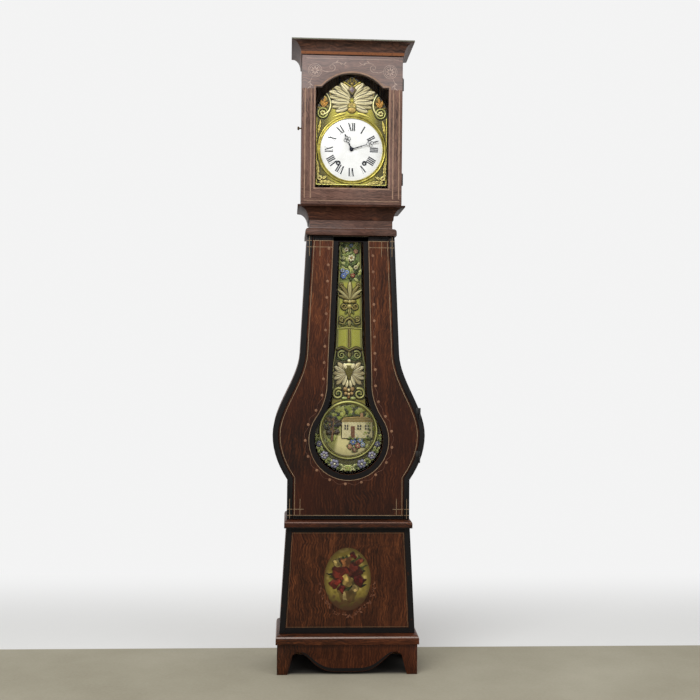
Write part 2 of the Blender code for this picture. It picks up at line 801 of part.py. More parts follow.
# Head: sides, back, dust board and cornice
for side, sign in (("left", -1), ("right", 1)):
    ends = sorted((sign * HEAD_HALF, sign * (HEAD_HALF - HEAD_BOARD)))
    box(f"head_side_{side}", (ends[0], HEAD_INNER_FRONT, HEAD_Z), (ends[1], INNER_BACK, HEAD_TOP), WOOD)
box("head_back", (-HEAD_HALF, BACK_Y - BACK_BOARD, HEAD_Z), (HEAD_HALF, BACK_Y, HEAD_TOP), BACKING)
inner_head = HEAD_HALF - HEAD_BOARD - GAP
box(
    "head_top",
    (-inner_head, HEAD_INNER_FRONT, HEAD_TOP - HEAD_BOARD),
    (inner_head, INNER_BACK, HEAD_TOP),
    BACKING,
)
moulding(
    "cornice",
    cove(
        CORNICE_FOOT_HALF,
        CORNICE_FOOT_FRONT,
        CORNICE_Z,
        CORNICE_HALF,
        CORNICE_FRONT,
        CORNICE_Z + CORNICE_HEIGHT,
    ),
    BACK_Y,
    WOOD,
    (HEAD_HALF - 2 * HEAD_BOARD, HEAD_INNER_FRONT, INNER_BACK - BACK_BOARD),
)

# Trunk door with its pane
trunk_pivot = pivot("trunk_door_pivot", (TRUNK_HINGE_X, TRUNK_HINGE_Y, BELLY_Z))
door_flank = inset(flank, BOARD + DOOR_GAP)
door_low, door_high = TRUNK_Z + DOOR_GAP, TRUNK_TOP - DOOR_GAP
door_flank = [(x, min(max(z, door_low), door_high)) for x, z in door_flank]
plate(
    "trunk_door",
    mirrored(door_flank),
    TRUNK_FRONT,
    BOARD,
    WOOD,
    [mirrored(window_flank())],
    trunk_pivot,
)
plate(
    "trunk_glass",
    mirrored(window_flank(GLASS_LAP)),
    TRUNK_FRONT + BOARD + GAP,
    GLASS,
    PANE,
    (),
    trunk_pivot,
)

# Head door with its pane and pull
head_pivot = pivot("head_door_pivot", (HEAD_HINGE_X, HEAD_HINGE_Y, HEAD_Z + HEAD_HEIGHT / 2))
door_edge = HEAD_HALF - GAP
plate(
    "head_door",
    rectangle((-door_edge, HEAD_Z + DOOR_GAP), (door_edge, HEAD_TOP - DOOR_GAP)),
    HEAD_FRONT,
    HEAD_DOOR_THICK,
    WOOD,
    [mirrored(head_opening())],
    head_pivot,
)
plate(
    "head_glass",
    mirrored(head_opening(GAP)),
    HEAD_FRONT + (HEAD_DOOR_THICK - GLASS) / 2,
    GLASS,
    PANE,
    (),
    head_pivot,
)
pull_y = HEAD_FRONT + HEAD_DOOR_THICK / 2
pull_z = HEAD_Z + PULL_RISE
pull_stem = rod(
    "pull_stem",
    (-door_edge - GAP, pull_y, pull_z),
    (-door_edge - PULL_LENGTH * 0.7, pull_y, pull_z),
    PULL_RADIUS * 0.45,
    IRON,
)
door_pull = rod(
    "head_door_pull",
    (-door_edge - PULL_LENGTH * 0.5, pull_y, pull_z),
    (-door_edge - PULL_LENGTH, pull_y, pull_z),
    PULL_RADIUS,
    IRON,
    16,
    head_pivot,
)
fuse(door_pull, pull_stem)


# Lift-off hinges: the lower half with its pin on the case, the upper half on the door
def hinge(name, axis, middle, leaf_low, leaf_high, door_low_corner, door_high_corner, parent):
    x, y = axis
    knuckle = rod(
        f"{name}_fixed",
        (x, y, middle - HINGE_HALF_LENGTH),
        (x, y, middle - GAP),
        KNUCKLE_RADIUS,
        IRON,
    )
    fixed_leaf = box(
        f"{name}_fixed_leaf",
        (*leaf_low, middle - HINGE_HALF_LENGTH + GAP),
        (*leaf_high, middle - 2 * GAP),
        IRON,
    )
    pin_low = (x, y, middle - HINGE_HALF_LENGTH / 2)
    pin_high = (x, y, middle + HINGE_HALF_LENGTH * 0.9)
    pin = rod(f"{name}_pin", pin_low, pin_high, HINGE_PIN_RADIUS, IRON)
    fuse(knuckle, fixed_leaf, pin)
    eye = rod(
        f"{name}_door",
        (x, y, middle + GAP),
        (x, y, middle + HINGE_HALF_LENGTH),
        KNUCKLE_RADIUS,
        IRON,
        16,
        parent,
    )
    door_leaf = box(
        f"{name}_door_leaf",
        (*door_low_corner, middle + 2 * GAP),
        (*door_high_corner, middle + HINGE_HALF_LENGTH - GAP),
        IRON,
    )
    bore = rod(
        f"{name}_bore",
        (x, y, middle - GAP),
        (x, y, middle + HINGE_HALF_LENGTH * 0.95),
        HINGE_PIN_RADIUS + RUN,
        IRON,
    )
    fuse(eye, door_leaf)
    cut(eye, bore)


for place, sign in (("upper", 1), ("lower", -1)):
    hinge(
        f"trunk_hinge_{place}",
        (TRUNK_HINGE_X, TRUNK_HINGE_Y),
        BELLY_Z + sign * TRUNK_HINGE_SPREAD,
        (TRUNK_HINGE_X - LEAF_THICK, TRUNK_FRONT - GAP - LEAF_THICK),
        (TRUNK_HINGE_X + KNUCKLE_RADIUS, TRUNK_FRONT - GAP),
        (TRUNK_HINGE_X - 2 * LEAF_LENGTH, TRUNK_FRONT - GAP - LEAF_THICK),
        (TRUNK_HINGE_X, TRUNK_FRONT - GAP),
        trunk_pivot,
    )
    spread = HEAD_HEIGHT / 2 - HEAD_HINGE_INSET
    hinge(
        f"head_hinge_{place}",
        (HEAD_HINGE_X, HEAD_HINGE_Y),
        HEAD_Z + HEAD_HEIGHT / 2 + sign * spread,
        (HEAD_HALF + GAP, HEAD_HINGE_Y + GAP),
        (HEAD_HALF + GAP + LEAF_THICK, HEAD_HINGE_Y + LEAF_LENGTH),
        (HEAD_HALF + GAP, HEAD_FRONT + GAP),
        (HEAD_HALF + GAP + LEAF_THICK, HEAD_HINGE_Y - GAP),
        head_pivot,
    )

# Movement: seat board and iron cage
slot = [
    rectangle(
        (sign * LINE_X - 4 * LINE_RADIUS, LINE_Y - SLOT_HALF),
        (sign * LINE_X + 4 * LINE_RADIUS, LINE_Y + SLOT_HALF),
    )
    for sign in (-1, 1)
]
level_plate(
    "seat_board",
    rectangle((-SEAT_HALF, SEAT_FRONT), (SEAT_HALF, SEAT_BACK)),
    HEAD_Z,
    SEAT_THICK,
    BACKING,
    slot,
)

HAMMER_X = -(BELL_RADIUS + HAMMER_GAP + 2 * HAMMER_HEAD)
HAMMER_Y = BELL_Y - HAMMER_ARM
cage_front, cage_back = FRONT_PLATE_Y, FRONT_PLATE_Y + CAGE_DEPTH
floor_outline = rectangle((-CAGE_HALF, cage_front), (CAGE_HALF, cage_back))
hammer_hole = circle((HAMMER_X, HAMMER_Y), ARBOR_RADIUS + RUN, 12)
cage = as_mesh(level_plate("cage_frame", floor_outline, CAGE_Z, MOVEMENT_PLATE, IRON, [*slot, hammer_hole]))
roof = as_mesh(
    level_plate("cage_roof", floor_outline, CAGE_TOP - MOVEMENT_PLATE, MOVEMENT_PLATE, IRON, [hammer_hole])
)
posts = []
for sx in (-1, 1):
    for sy, y in ((0, cage_front + PILLAR * 0.7), (1, cage_back - PILLAR * 0.7)):
        x = sx * (CAGE_HALF - PILLAR * 0.7)
        low = (x - PILLAR / 2, y - PILLAR / 2, CAGE_Z + MOVEMENT_PLATE / 2)
        high = (x + PILLAR / 2, y + PILLAR / 2, CAGE_TOP - MOVEMENT_PLATE / 2)
        posts.append(box(f"cage_pillar_{sx}_{sy}", low, high, IRON))
    low_post = DIAL_Z - FRONTON_DROP + DIAL_POST_RISE
    high_post = DIAL_Z + FRONTON_SHOULDER * 0.58
    for level, z in (("low", low_post), ("high", high_post)):
        x = sx * (CAGE_HALF - PILLAR * 0.7)
        start = (x, cage_front + PILLAR * 0.6, z)
        end = (x, FRONTON_Y + FRONTON_THICK + GAP, z)
        posts.append(rod(f"dial_post_{sx}_{level}", start, end, PILLAR * 0.3, IRON, 12))
bell_foot = CAGE_TOP - MOVEMENT_PLATE / 2
bell_low = CAGE_TOP + BELL_CLEAR
bell_post_top = bell_low + BELL_HEIGHT + BELL_POST_END
posts.append(rod("bell_post", (0.0, BELL_Y, bell_foot), (0.0, BELL_Y, bell_post_top), BELL_POST, IRON))
fuse(cage, roof, *posts)

pivots = (GOING_AT, STRIKE_AT, THIRD_AT, ESCAPE_AT, PIN_WHEEL_AT, FLY_AT)
radii = (BARREL_ARBOR, BARREL_ARBOR, ARBOR_RADIUS, ARBOR_RADIUS, ARBOR_RADIUS, ARBOR_RADIUS)
bearings = [circle(at, radius + RUN, 12) for at, radius in zip(pivots, radii)]
bearings.append(circle(ANCHOR_AT, ARBOR_RADIUS + RUN, 12))
plate_outline = rectangle(
    (-CAGE_PLATE_HALF, CAGE_Z + MOVEMENT_PLATE + GAP),
    (CAGE_PLATE_HALF, CAGE_TOP - MOVEMENT_PLATE - GAP),
)
front_bearings = bearings + [
    circle(HANDS_AT, HAND_ARBOR_RADIUS + RUN, 12),
    circle(MINUTE_AT, ARBOR_RADIUS + RUN, 12),
]
plate("front_plate", plate_outline, FRONT_PLATE_Y, MOVEMENT_PLATE, BRASS, front_bearings)
plate("rear_plate", plate_outline, REAR_PLATE_Y, MOVEMENT_PLATE, BRASS, bearings)
ARBOR_FRONT = FRONT_INNER - PIVOT_INTO_PLATE
ARBOR_BACK = REAR_PLATE_Y + PIVOT_INTO_PLATE


# Barrels with their winding squares, and the great wheels that turn on them
def barrel(name, at):
    axle = pivot(f"{name}_axis", (at[0], LINE_Y, at[1]))
    end = BARREL_Y + BARREL_LENGTH
    flange = FLANGE_THICK
    profile = [
        (0.0, ARBOR_BACK),
        (BARREL_ARBOR, ARBOR_BACK),
        (BARREL_ARBOR, end),
        (BARREL_FLANGE, end),
        (BARREL_FLANGE, end - flange),
        (BARREL_RADIUS, end - flange),
        (BARREL_RADIUS, BARREL_Y + flange),
        (BARREL_FLANGE, BARREL_Y + flange),
        (BARREL_FLANGE, BARREL_Y),
        (BARREL_ARBOR, BARREL_Y),
        (BARREL_ARBOR, FRONT_PLATE_Y - ARBOR_STUB),
        (0.0, FRONT_PLATE_Y - ARBOR_STUB),
    ]
    drum = turned(name, list(reversed(profile)), at, "Y", BRASS, 24, axle)
    half = WINDING_SQUARE / 2
    square = box(
        f"{name}_square",
        (at[0] - half, DIAL_BACK_Y - SQUARE_LEAD, at[1] - half),
        (at[0] + half, FRONT_PLATE_Y - ARBOR_STUB / 2, at[1] + half),
        STEEL,
    )
    fuse(drum, square)


def great_wheel(name, at, partner):
    axle = pivot(f"{name}_axis", (at[0], GREAT_Y, at[1]))
    ring = wheel_ring(WHEEL_TEETH, GREAT_MODULE, at, heading(at, partner))
    bore = circle(at, BARREL_ARBOR + RUN, 12)
    plate(name, ring, GREAT_Y, WHEEL_THICK, BRASS, [bore], axle)


def arbor_with(name, at, radius, start, end, toothed, mat):
    """Arbor along Y with toothed rings of (outline, y, thickness) fixed to it."""
    axle = pivot(f"{name}_axis", (at[0], (start + end) / 2, at[1]))
    bar = rod(name, (at[0], start, at[1]), (at[0], end, at[1]), radius, mat, 16, axle)
    rings = []
    for i, (outline, y, thick) in enumerate(toothed):
        rings.append(gear(f"{name}_ring_{i}", outline, y, thick, mat))
    return fuse(bar, *rings)


barrel("going_barrel", GOING_AT)
barrel("strike_barrel", STRIKE_AT)
great_wheel("going_great_wheel", GOING_AT, THIRD_AT)
great_wheel("strike_great_wheel", STRIKE_AT, PIN_WHEEL_AT)


def meshing_phase(teeth, at, partner):
    """Phase that turns a gap of this wheel towards a tooth of its partner."""
    return heading(at, partner) + math.pi / teeth


third_phase = meshing_phase(PINION_LEAVES, THIRD_AT, GOING_AT)
third_pinion = pinion_ring(PINION_LEAVES, GREAT_MODULE, THIRD_AT, third_phase)
third_ring = wheel_ring(WHEEL_TEETH, THIRD_MODULE, THIRD_AT, heading(THIRD_AT, ESCAPE_AT))
arbor_with(
    "third_wheel",
    THIRD_AT,
    ARBOR_RADIUS,
    ARBOR_FRONT,
    ARBOR_BACK,
    [(third_pinion, THIRD_PINION_Y, PINION_LENGTH), (third_ring, THIRD_Y, WHEEL_THICK)],
    BRASS,
)

escape_pinion = pinion_ring(
    PINION_LEAVES, THIRD_MODULE, ESCAPE_AT, meshing_phase(PINION_LEAVES, ESCAPE_AT, THIRD_AT)
)
escape_ring = []
for i in range(ESCAPE_TEETH):
    turn = 2 * math.pi * i / ESCAPE_TEETH
    step = 2 * math.pi / ESCAPE_TEETH
    low = ESCAPE_RADIUS - ESCAPE_TOOTH
    for radius, share in ((low, 0.0), (ESCAPE_RADIUS, 0.05), (ESCAPE_RADIUS, 0.15)):
        angle = turn + share * step
        escape_ring.append((radius * math.cos(angle), ESCAPE_Z + radius * math.sin(angle)))
    angle = turn + 0.6 * step
    escape_ring.append((low * math.cos(angle), ESCAPE_Z + low * math.sin(angle)))
arbor_with(
    "escape_wheel",
    ESCAPE_AT,
    ARBOR_RADIUS,
    ARBOR_FRONT,
    ARBOR_BACK,
    [(escape_pinion, THIRD_Y - PINION_LEAD, PINION_LENGTH), (escape_ring, ESCAPE_Y, WHEEL_THICK * 0.6)],
    BRASS,
)

# Anchor with its crutch, on the axis about which the pendulum swings
CRUTCH_Y = ROD_Y + ROD_THICK / 2 + CRUTCH_CLEAR
anchor_axis = pivot("anchor_axis", (0.0, ROD_Y, ANCHOR_Z))
anchor_start = (0.0, CRUTCH_Y, ANCHOR_Z)
anchor_end = (0.0, ARBOR_BACK, ANCHOR_Z)
anchor = rod("anchor", anchor_start, anchor_end, ARBOR_RADIUS, STEEL, 16, anchor_axis)
inner_arc = ESCAPE_RADIUS + PALLET_CLEAR
arc = []
for i in range(13):
    angle = math.radians(90 - PALLET_SPAN + 2 * PALLET_SPAN * i / 12)
    arc.append((inner_arc * math.cos(angle), ESCAPE_Z + inner_arc * math.sin(angle)))
outer_arc = inner_arc + PALLET_THICK
crescent = list(arc)
for i in range(11, 0, -1):
    angle = math.radians(90 - PALLET_SPAN + 2 * PALLET_SPAN * i / 12)
    crescent.append((outer_arc * math.cos(angle), ESCAPE_Z + outer_arc * math.sin(angle)))
pallets = gear("anchor_pallets", crescent, ESCAPE_Y - SINK, WHEEL_THICK, STEEL)
neck_half = ANCHOR_NECK_HALF
neck = box(
    "anchor_neck",
    (-neck_half, ESCAPE_Y - SINK / 2, ESCAPE_Z + inner_arc + SINK),
    (neck_half, ESCAPE_Y + WHEEL_THICK - 3 * SINK / 2, ANCHOR_Z + neck_half),
    STEEL,
)
crutch = box(
    "anchor_crutch",
    (-CRUTCH_HALF, CRUTCH_Y + FINE_SINK, ANCHOR_Z - CRUTCH_DROP),
    (CRUTCH_HALF, CRUTCH_Y + CRUTCH_THICK, ANCHOR_Z + CRUTCH_END),
    STEEL,
)
crutch_pin = rod(
    "anchor_crutch_pin",
    (0.0, CRUTCH_Y + CRUTCH_THICK / 2, ANCHOR_Z - CRUTCH_DROP + CRUTCH_END),
    (0.0, ROD_Y, ANCHOR_Z - CRUTCH_DROP + CRUTCH_END),
    CRUTCH_PIN,
    STEEL,
    12,
)
fuse(anchor, pallets, neck, crutch, crutch_pin)

# Suspension cock riveted to the cage: its peg carries the eye of the pendulum rod
COCK_Y = ROD_Y - ROD_THICK / 2 - COCK_CLEAR
cock = box(
    "suspension_cock",
    (-COCK_HALF, COCK_Y, ANCHOR_Z - COCK_FOOT),
    (COCK_HALF, COCK_Y + COCK_THICK, CAGE_TOP + COCK_THICK),
    IRON,
)
cock_arm = box(
    "cock_arm",
    (FINE_SINK - COCK_HALF, COCK_Y + SINK, CAGE_TOP - SINK),
    (COCK_HALF - FINE_SINK, FRONT_PLATE_Y + COCK_ARM, CAGE_TOP + COCK_THICK - FINE_SINK),
    IRON,
)
cock_peg = rod(
    "cock_peg",
    (0.0, COCK_Y + COCK_THICK / 2, ANCHOR_Z),
    (0.0, ROD_Y + ROD_THICK / 2 + GAP, ANCHOR_Z),
    ROD_PEG,
    IRON,
)
fuse(cage, cock_arm, cock, cock_peg)

# Pendulum: rod with an eye and a ring round the hand arbor, embossed plate, lens
swing_axis = pivot("pendulum_axis", (0.0, ROD_Y, ANCHOR_Z))
rod_bottom = BOB_Z - BOB_RADIUS * 0.8
pendulum_rod = box(
    "pendulum_rod",
    (-ROD_HALF, ROD_Y - ROD_THICK / 2, rod_bottom),
    (ROD_HALF, ROD_Y + ROD_THICK / 2, ANCHOR_Z),
    STEEL,
    swing_axis,
)
swell = ROD_THICK * 1.2


def rod_disc(name, z, radius, thick):
    start = (0.0, ROD_Y - thick / 2, z)
    return rod(name, start, (0.0, ROD_Y + thick / 2, z), radius, STEEL, 16)


fuse(
    pendulum_rod,
    rod_disc("rod_eye", ANCHOR_Z, ROD_EYE, swell),
    rod_disc("rod_ring", DIAL_Z, ROD_RING, swell),
)
cut(
    pendulum_rod,
    rod_disc("rod_eye_bore", ANCHOR_Z, ROD_PEG + RUN, 3 * swell),
    rod_disc("rod_ring_bore", DIAL_Z, ROD_RING_BORE, 3 * swell),
    rod_disc("rod_pin_bore", ANCHOR_Z - CRUTCH_DROP + CRUTCH_END, CRUTCH_PIN + RUN, 3 * swell),
)


def pendulum_flank(steps=16):
    """Right-hand outline of the embossed plate from the bottom of the bob to the top of the strip."""
    plate_top = ANCHOR_Z - PLATE_TOP_DROP
    shell_z = BOB_Z + BOB_RADIUS * 1.45
    ring_radius = BOB_RADIUS * 0.90
    ring_rise = BOB_RADIUS * 0.245
    crossing = (BOB_RADIUS**2 - ring_radius**2 + ring_rise**2) / (2 * ring_rise)
    bob_end = math.asin(crossing / BOB_RADIUS)
    ring_start = math.asin((crossing - ring_rise) / ring_radius)
    ring_end = math.acos(PLATE_HALF_SHELL / ring_radius)
    points = []
    for i in range(steps + 1):
        angle = -math.pi / 2 + (bob_end + math.pi / 2) * i / steps
        points.append((BOB_RADIUS * math.cos(angle), BOB_Z + BOB_RADIUS * math.sin(angle)))
    for i in range(1, steps // 2 + 1):
        angle = ring_start + (ring_end - ring_start) * i / (steps // 2)
        points.append((ring_radius * math.cos(angle), BOB_Z + ring_rise + ring_radius * math.sin(angle)))
    points.append((PLATE_HALF_SHELL, shell_z + BOB_RADIUS * 0.75))
    points.append((PLATE_HALF_MIDDLE, shell_z + BOB_RADIUS * 1.35))
    points.append((PLATE_HALF_TOP, plate_top))
    return points


PENDULUM_FRONT = ROD_Y - ROD_THICK / 2 - GAP - PENDULUM_THICK
plate("pendulum_plate", mirrored(pendulum_flank()), PENDULUM_FRONT, PENDULUM_THICK, BRASS, (), swing_axis)
lens_front = ROD_Y + ROD_THICK / 2 + GAP
lens_profile = [
    (0.0, lens_front),
    (LENS_RADIUS, lens_front),
    (LENS_RADIUS, lens_front + LENS_THICK * 0.3),
    (LENS_RADIUS * 0.7, lens_front + LENS_THICK * 0.8),
    (0.0, lens_front + LENS_THICK),
]
turned("pendulum_lens", lens_profile, (0.0, BOB_Z), "Y", LEAD, 24, swing_axis)

# Strike work: pin wheel, fly, hammer and bell
pin_pinion = pinion_ring(
    PINION_LEAVES, GREAT_MODULE, PIN_WHEEL_AT, meshing_phase(PINION_LEAVES, PIN_WHEEL_AT, STRIKE_AT)
)
pin_ring = wheel_ring(WHEEL_TEETH, THIRD_MODULE, PIN_WHEEL_AT, heading(PIN_WHEEL_AT, FLY_AT))
pin_wheel = arbor_with(
    "pin_wheel",
    PIN_WHEEL_AT,
    ARBOR_RADIUS,
    ARBOR_FRONT,
    ARBOR_BACK,
    [(pin_pinion, THIRD_PINION_Y, PINION_LENGTH), (pin_ring, PIN_WHEEL_Y, WHEEL_THICK)],
    BRASS,
)
lifting_pins = []
for i in range(HAMMER_PINS):
    angle = 2 * math.pi * i / HAMMER_PINS
    x = PIN_WHEEL_AT[0] + HAMMER_PIN_CIRCLE * math.cos(angle)
    z = PIN_WHEEL_AT[1] + HAMMER_PIN_CIRCLE * math.sin(angle)
    start = (x, PIN_WHEEL_Y - HAMMER_PIN_LENGTH, z)
    end = (x, PIN_WHEEL_Y + WHEEL_THICK / 2, z)
    lifting_pins.append(rod(f"lifting_pin_{i}", start, end, HAMMER_PIN_RADIUS, STEEL, 8))
fuse(pin_wheel, *lifting_pins)

fly_phase = meshing_phase(PINION_LEAVES, FLY_AT, PIN_WHEEL_AT)
fly_pinion = pinion_ring(PINION_LEAVES, THIRD_MODULE, FLY_AT, fly_phase)
fly = arbor_with(
    "fly",
    FLY_AT,
    ARBOR_RADIUS,
    ARBOR_FRONT,
    ARBOR_BACK,
    [(fly_pinion, PIN_WHEEL_Y - PINION_LEAD, PINION_LENGTH)],
    BRASS,
)
vane_y = PIN_WHEEL_Y + PINION_LENGTH
vane = box(
    "fly_vane",
    (FLY_AT[0] - FLY_RADIUS, vane_y, FLY_AT[1] - FLY_VANE_THICK / 2),
    (FLY_AT[0] + FLY_RADIUS, vane_y + FLY_LENGTH, FLY_AT[1] + FLY_VANE_THICK / 2),
    BRASS,
)
fuse(fly, vane)

bell_profile = [
    (BELL_POST + GAP, bell_low + BELL_HEIGHT),
    (BELL_RADIUS * 0.45, bell_low + BELL_HEIGHT * 0.97),
    (BELL_RADIUS * 0.72, bell_low + BELL_HEIGHT * 0.80),
    (BELL_RADIUS * 0.88, bell_low + BELL_HEIGHT * 0.45),
    (BELL_RADIUS, bell_low),
    (BELL_RADIUS - BELL_WALL, bell_low),
    (BELL_RADIUS * 0.88 - BELL_WALL, bell_low + BELL_HEIGHT * 0.43),
    (BELL_RADIUS * 0.72 - BELL_WALL, bell_low + BELL_HEIGHT * 0.75),
    (BELL_RADIUS * 0.45 - BELL_WALL, bell_low + BELL_HEIGHT * 0.97 - BELL_WALL),
    (BELL_POST + GAP, bell_low + BELL_HEIGHT - BELL_WALL),
]
turned("bell", bell_profile, (0.0, BELL_Y), "Z", BELL_METAL, 24)

hammer_level = bell_low + HAMMER_RISE
hammer_axis = pivot("hammer_axis", (HAMMER_X, HAMMER_Y, hammer_level))
hammer_foot = CAGE_Z + GAP
hammer = rod(
    "hammer",
    (HAMMER_X, HAMMER_Y, hammer_foot),
    (HAMMER_X, HAMMER_Y, hammer_level + HAMMER_END),
    ARBOR_RADIUS,
    STEEL,
    16,
    hammer_axis,
)
head_x = -(BELL_RADIUS + HAMMER_GAP + HAMMER_HEAD)
hammer_arm = rod(
    "hammer_arm",
    (HAMMER_X, HAMMER_Y, hammer_level),
    (head_x, BELL_Y, hammer_level),
    ARBOR_RADIUS * 0.9,
    STEEL,
    12,
)
hammer_head = rod(
    "hammer_head",
    (head_x - HAMMER_HEAD, BELL_Y, hammer_level),
    (head_x + HAMMER_HEAD, BELL_Y, hammer_level),
    HAMMER_HEAD * 0.8,
    STEEL,
)
tail_z = PIN_WHEEL_AT[1] + HAMMER_TAIL_RISE
tail_end = (PIN_WHEEL_AT[0] - HAMMER_PIN_CIRCLE, PIN_WHEEL_Y - HAMMER_TAIL_STEP, tail_z)
hammer_tail = rod(
    "hammer_tail",
    (HAMMER_X, HAMMER_Y, tail_z),
    tail_end,
    ARBOR_RADIUS * 0.8,
    STEEL,
    12,
)
fuse(hammer, hammer_arm, hammer_head, hammer_tail)

# Motion work: hand arbor with cannon pinion, minute wheel, hour wheel with its pipe
cannon_phase = meshing_phase(CANNON_TEETH, HANDS_AT, MINUTE_AT)
hand_end = MINUTE_HAND_Y - HAND_ARBOR_END
arbor_with(
    "minute_arbor",
    HANDS_AT,
    HAND_ARBOR_RADIUS,
    hand_end,
    FRONT_INNER,
    [(pinion_ring(CANNON_TEETH, CANNON_MODULE, HANDS_AT, cannon_phase), CANNON_Y, MOTION_THICK)],
    STEEL,
)
minute_ring = wheel_ring(MINUTE_TEETH, CANNON_MODULE, MINUTE_AT, heading(MINUTE_AT, HANDS_AT))
reverse_phase = meshing_phase(MINUTE_PINION_TEETH, MINUTE_AT, HANDS_AT)
reverse_ring = pinion_ring(MINUTE_PINION_TEETH, HOUR_MODULE, MINUTE_AT, reverse_phase)
arbor_with(
    "minute_wheel",
    MINUTE_AT,
    ARBOR_RADIUS,
    HOUR_WHEEL_Y - SINK,
    FRONT_INNER,
    [(minute_ring, CANNON_Y, MOTION_THICK), (reverse_ring, HOUR_WHEEL_Y, MOTION_THICK)],
    BRASS,
)
pipe_bore = HAND_ARBOR_RADIUS + RUN
pipe_outer = pipe_bore + PIPE_WALL
hour_axis = pivot("hour_axis", (0.0, HOUR_WHEEL_Y, DIAL_Z))
pipe_profile = [
    (pipe_bore, HOUR_HAND_Y - GAP),
    (pipe_outer, HOUR_HAND_Y - GAP),
    (pipe_outer, HOUR_WHEEL_Y + MOTION_THICK + PIPE_COLLAR),
    (pipe_bore, HOUR_WHEEL_Y + MOTION_THICK + PIPE_COLLAR),
]
hour_wheel = turned("hour_wheel", pipe_profile, HANDS_AT, "Y", BRASS, 24, hour_axis)
hour_ring = gear(
    "hour_ring",
    wheel_ring(HOUR_TEETH, HOUR_MODULE, HANDS_AT, heading(HANDS_AT, MINUTE_AT)),
    HOUR_WHEEL_Y,
    MOTION_THICK,
    BRASS,
    [circle(HANDS_AT, (pipe_bore + pipe_outer) / 2)],
)
fuse(hour_wheel, hour_ring)


# Hands: a tapering stem through a pierced rose
def hand(name, length, y, bore, angle, parent):
    turn = math.radians(90.0 - angle)
    along = Vector((math.cos(turn), math.sin(turn)))
    across = Vector((-along.y, along.x))
    centre = Vector(HANDS_AT)

    def point(distance, offset):
        return tuple(centre + along * distance + across * offset)

    rose = length * 0.74
    stem = [
        point(bore + HAND_ARBOR_END, -HAND_STEM),
        point(rose, -HAND_STEM * 0.6),
        point(length, 0.0),
        point(rose, HAND_STEM * 0.6),
        point(bore + HAND_ARBOR_END, HAND_STEM),
    ]
    quatrefoil = []
    for i in range(32):
        a = 2 * math.pi * i / 32
        reach = HAND_ROSE * (0.78 + 0.22 * math.cos(4 * a))
        quatrefoil.append(point(rose + reach * math.cos(a), reach * math.sin(a)))
    piercings = []
    for quarter in range(4):
        a = math.pi / 4 + quarter * math.pi / 2
        hole_centre = point(rose + HAND_ROSE * 0.36 * math.cos(a), HAND_ROSE * 0.36 * math.sin(a))
        piercings.append(circle(hole_centre, HAND_ROSE * 0.15, 10))
    hub = circle(HANDS_AT, max(HAND_HUB, bore + HAND_RIM), 24)
    eye = circle(HANDS_AT, bore, 24)
    made = gear(name, stem, y, HAND_THICK, STEEL, (), parent)
    return fuse(
        made,
        gear(f"{name}_rose", quatrefoil, y + FINE_SINK / 2, HAND_THICK - FINE_SINK, STEEL, piercings),
        gear(f"{name}_hub", hub, y - FINE_SINK / 2, HAND_THICK + FINE_SINK, STEEL, [eye]),
    )


hands_axis = pivot("hands_axis", (0.0, MINUTE_HAND_Y, DIAL_Z))
hand("hour_hand", HOUR_HAND_LENGTH, HOUR_HAND_Y, pipe_outer + GAP, SHOWN_HOUR_ANGLE, hour_axis)
hand(
    "minute_hand",
    MINUTE_HAND_LENGTH,
    MINUTE_HAND_Y,
    HAND_ARBOR_RADIUS + GAP,
    SHOWN_MINUTE_ANGLE,
    hands_axis,
)

# Enamel dial, domed, with a centre hole and two winding holes
dial_profile = [(pipe_outer + 2 * RUN, DIAL_BACK_Y), (DIAL_RADIUS, DIAL_BACK_Y), (DIAL_RADIUS, DIAL_RIM_Y)]
for i in range(1, 5):
    radius = DIAL_RADIUS + (pipe_outer + 2 * RUN - DIAL_RADIUS) * i / 4
    dial_profile.append((radius, DIAL_RIM_Y - DIAL_DOME * (1 - (radius / DIAL_RADIUS) ** 2)))
dial = turned("dial", list(reversed(dial_profile)), HANDS_AT, "Y", ENAMEL, 40)
cut(
    dial,
    *[
        rod(
            f"winding_hole_{name}",
            (at[0], DIAL_BACK_Y + DIAL_DOME, at[1]),
            (at[0], DIAL_RIM_Y - 2 * DIAL_DOME, at[1]),
            WINDING_HOLE,
            ENAMEL,
            24,
        )
        for name, at in (("going", GOING_AT), ("strike", STRIKE_AT))
    ],
)


# Front plate of the dial: a sheet with a crest, and the round bezel on it
def fronton_flank(steps=8):
    points = [(FRONTON_HALF, DIAL_Z - FRONTON_DROP), (FRONTON_HALF, DIAL_Z + FRONTON_SHOULDER)]
    rise = FRONTON_CREST - FRONTON_SHOULDER
    for i in range(1, steps):
        share = i / steps
        x = FRONTON_HALF * math.cos(math.pi / 2 * share)
        points.append((x, DIAL_Z + FRONTON_SHOULDER + rise * share**0.8))
    points.append((0.0, DIAL_Z + FRONTON_CREST))
    return points


fronton = as_mesh(
    plate(
        "fronton",
        mirrored(fronton_flank()),
        FRONTON_Y,
        FRONTON_THICK,
        BRASS,
        [circle(HANDS_AT, DIAL_SIGHT, 40)],
    )
)
bezel_profile = [
    (DIAL_SIGHT + GAP, FRONTON_Y + FRONTON_THICK / 2),
    (DIAL_SIGHT + GAP, FRONTON_Y),
    ((DIAL_SIGHT + BEZEL_OUTER) / 2, BEZEL_Y),
    (BEZEL_OUTER, FRONTON_Y),
    (BEZEL_OUTER, FRONTON_Y + FRONTON_THICK / 2),
]
bezel = turned("bezel_ring", bezel_profile, HANDS_AT, "Y", BRASS, 40)
fuse(fronton, bezel)


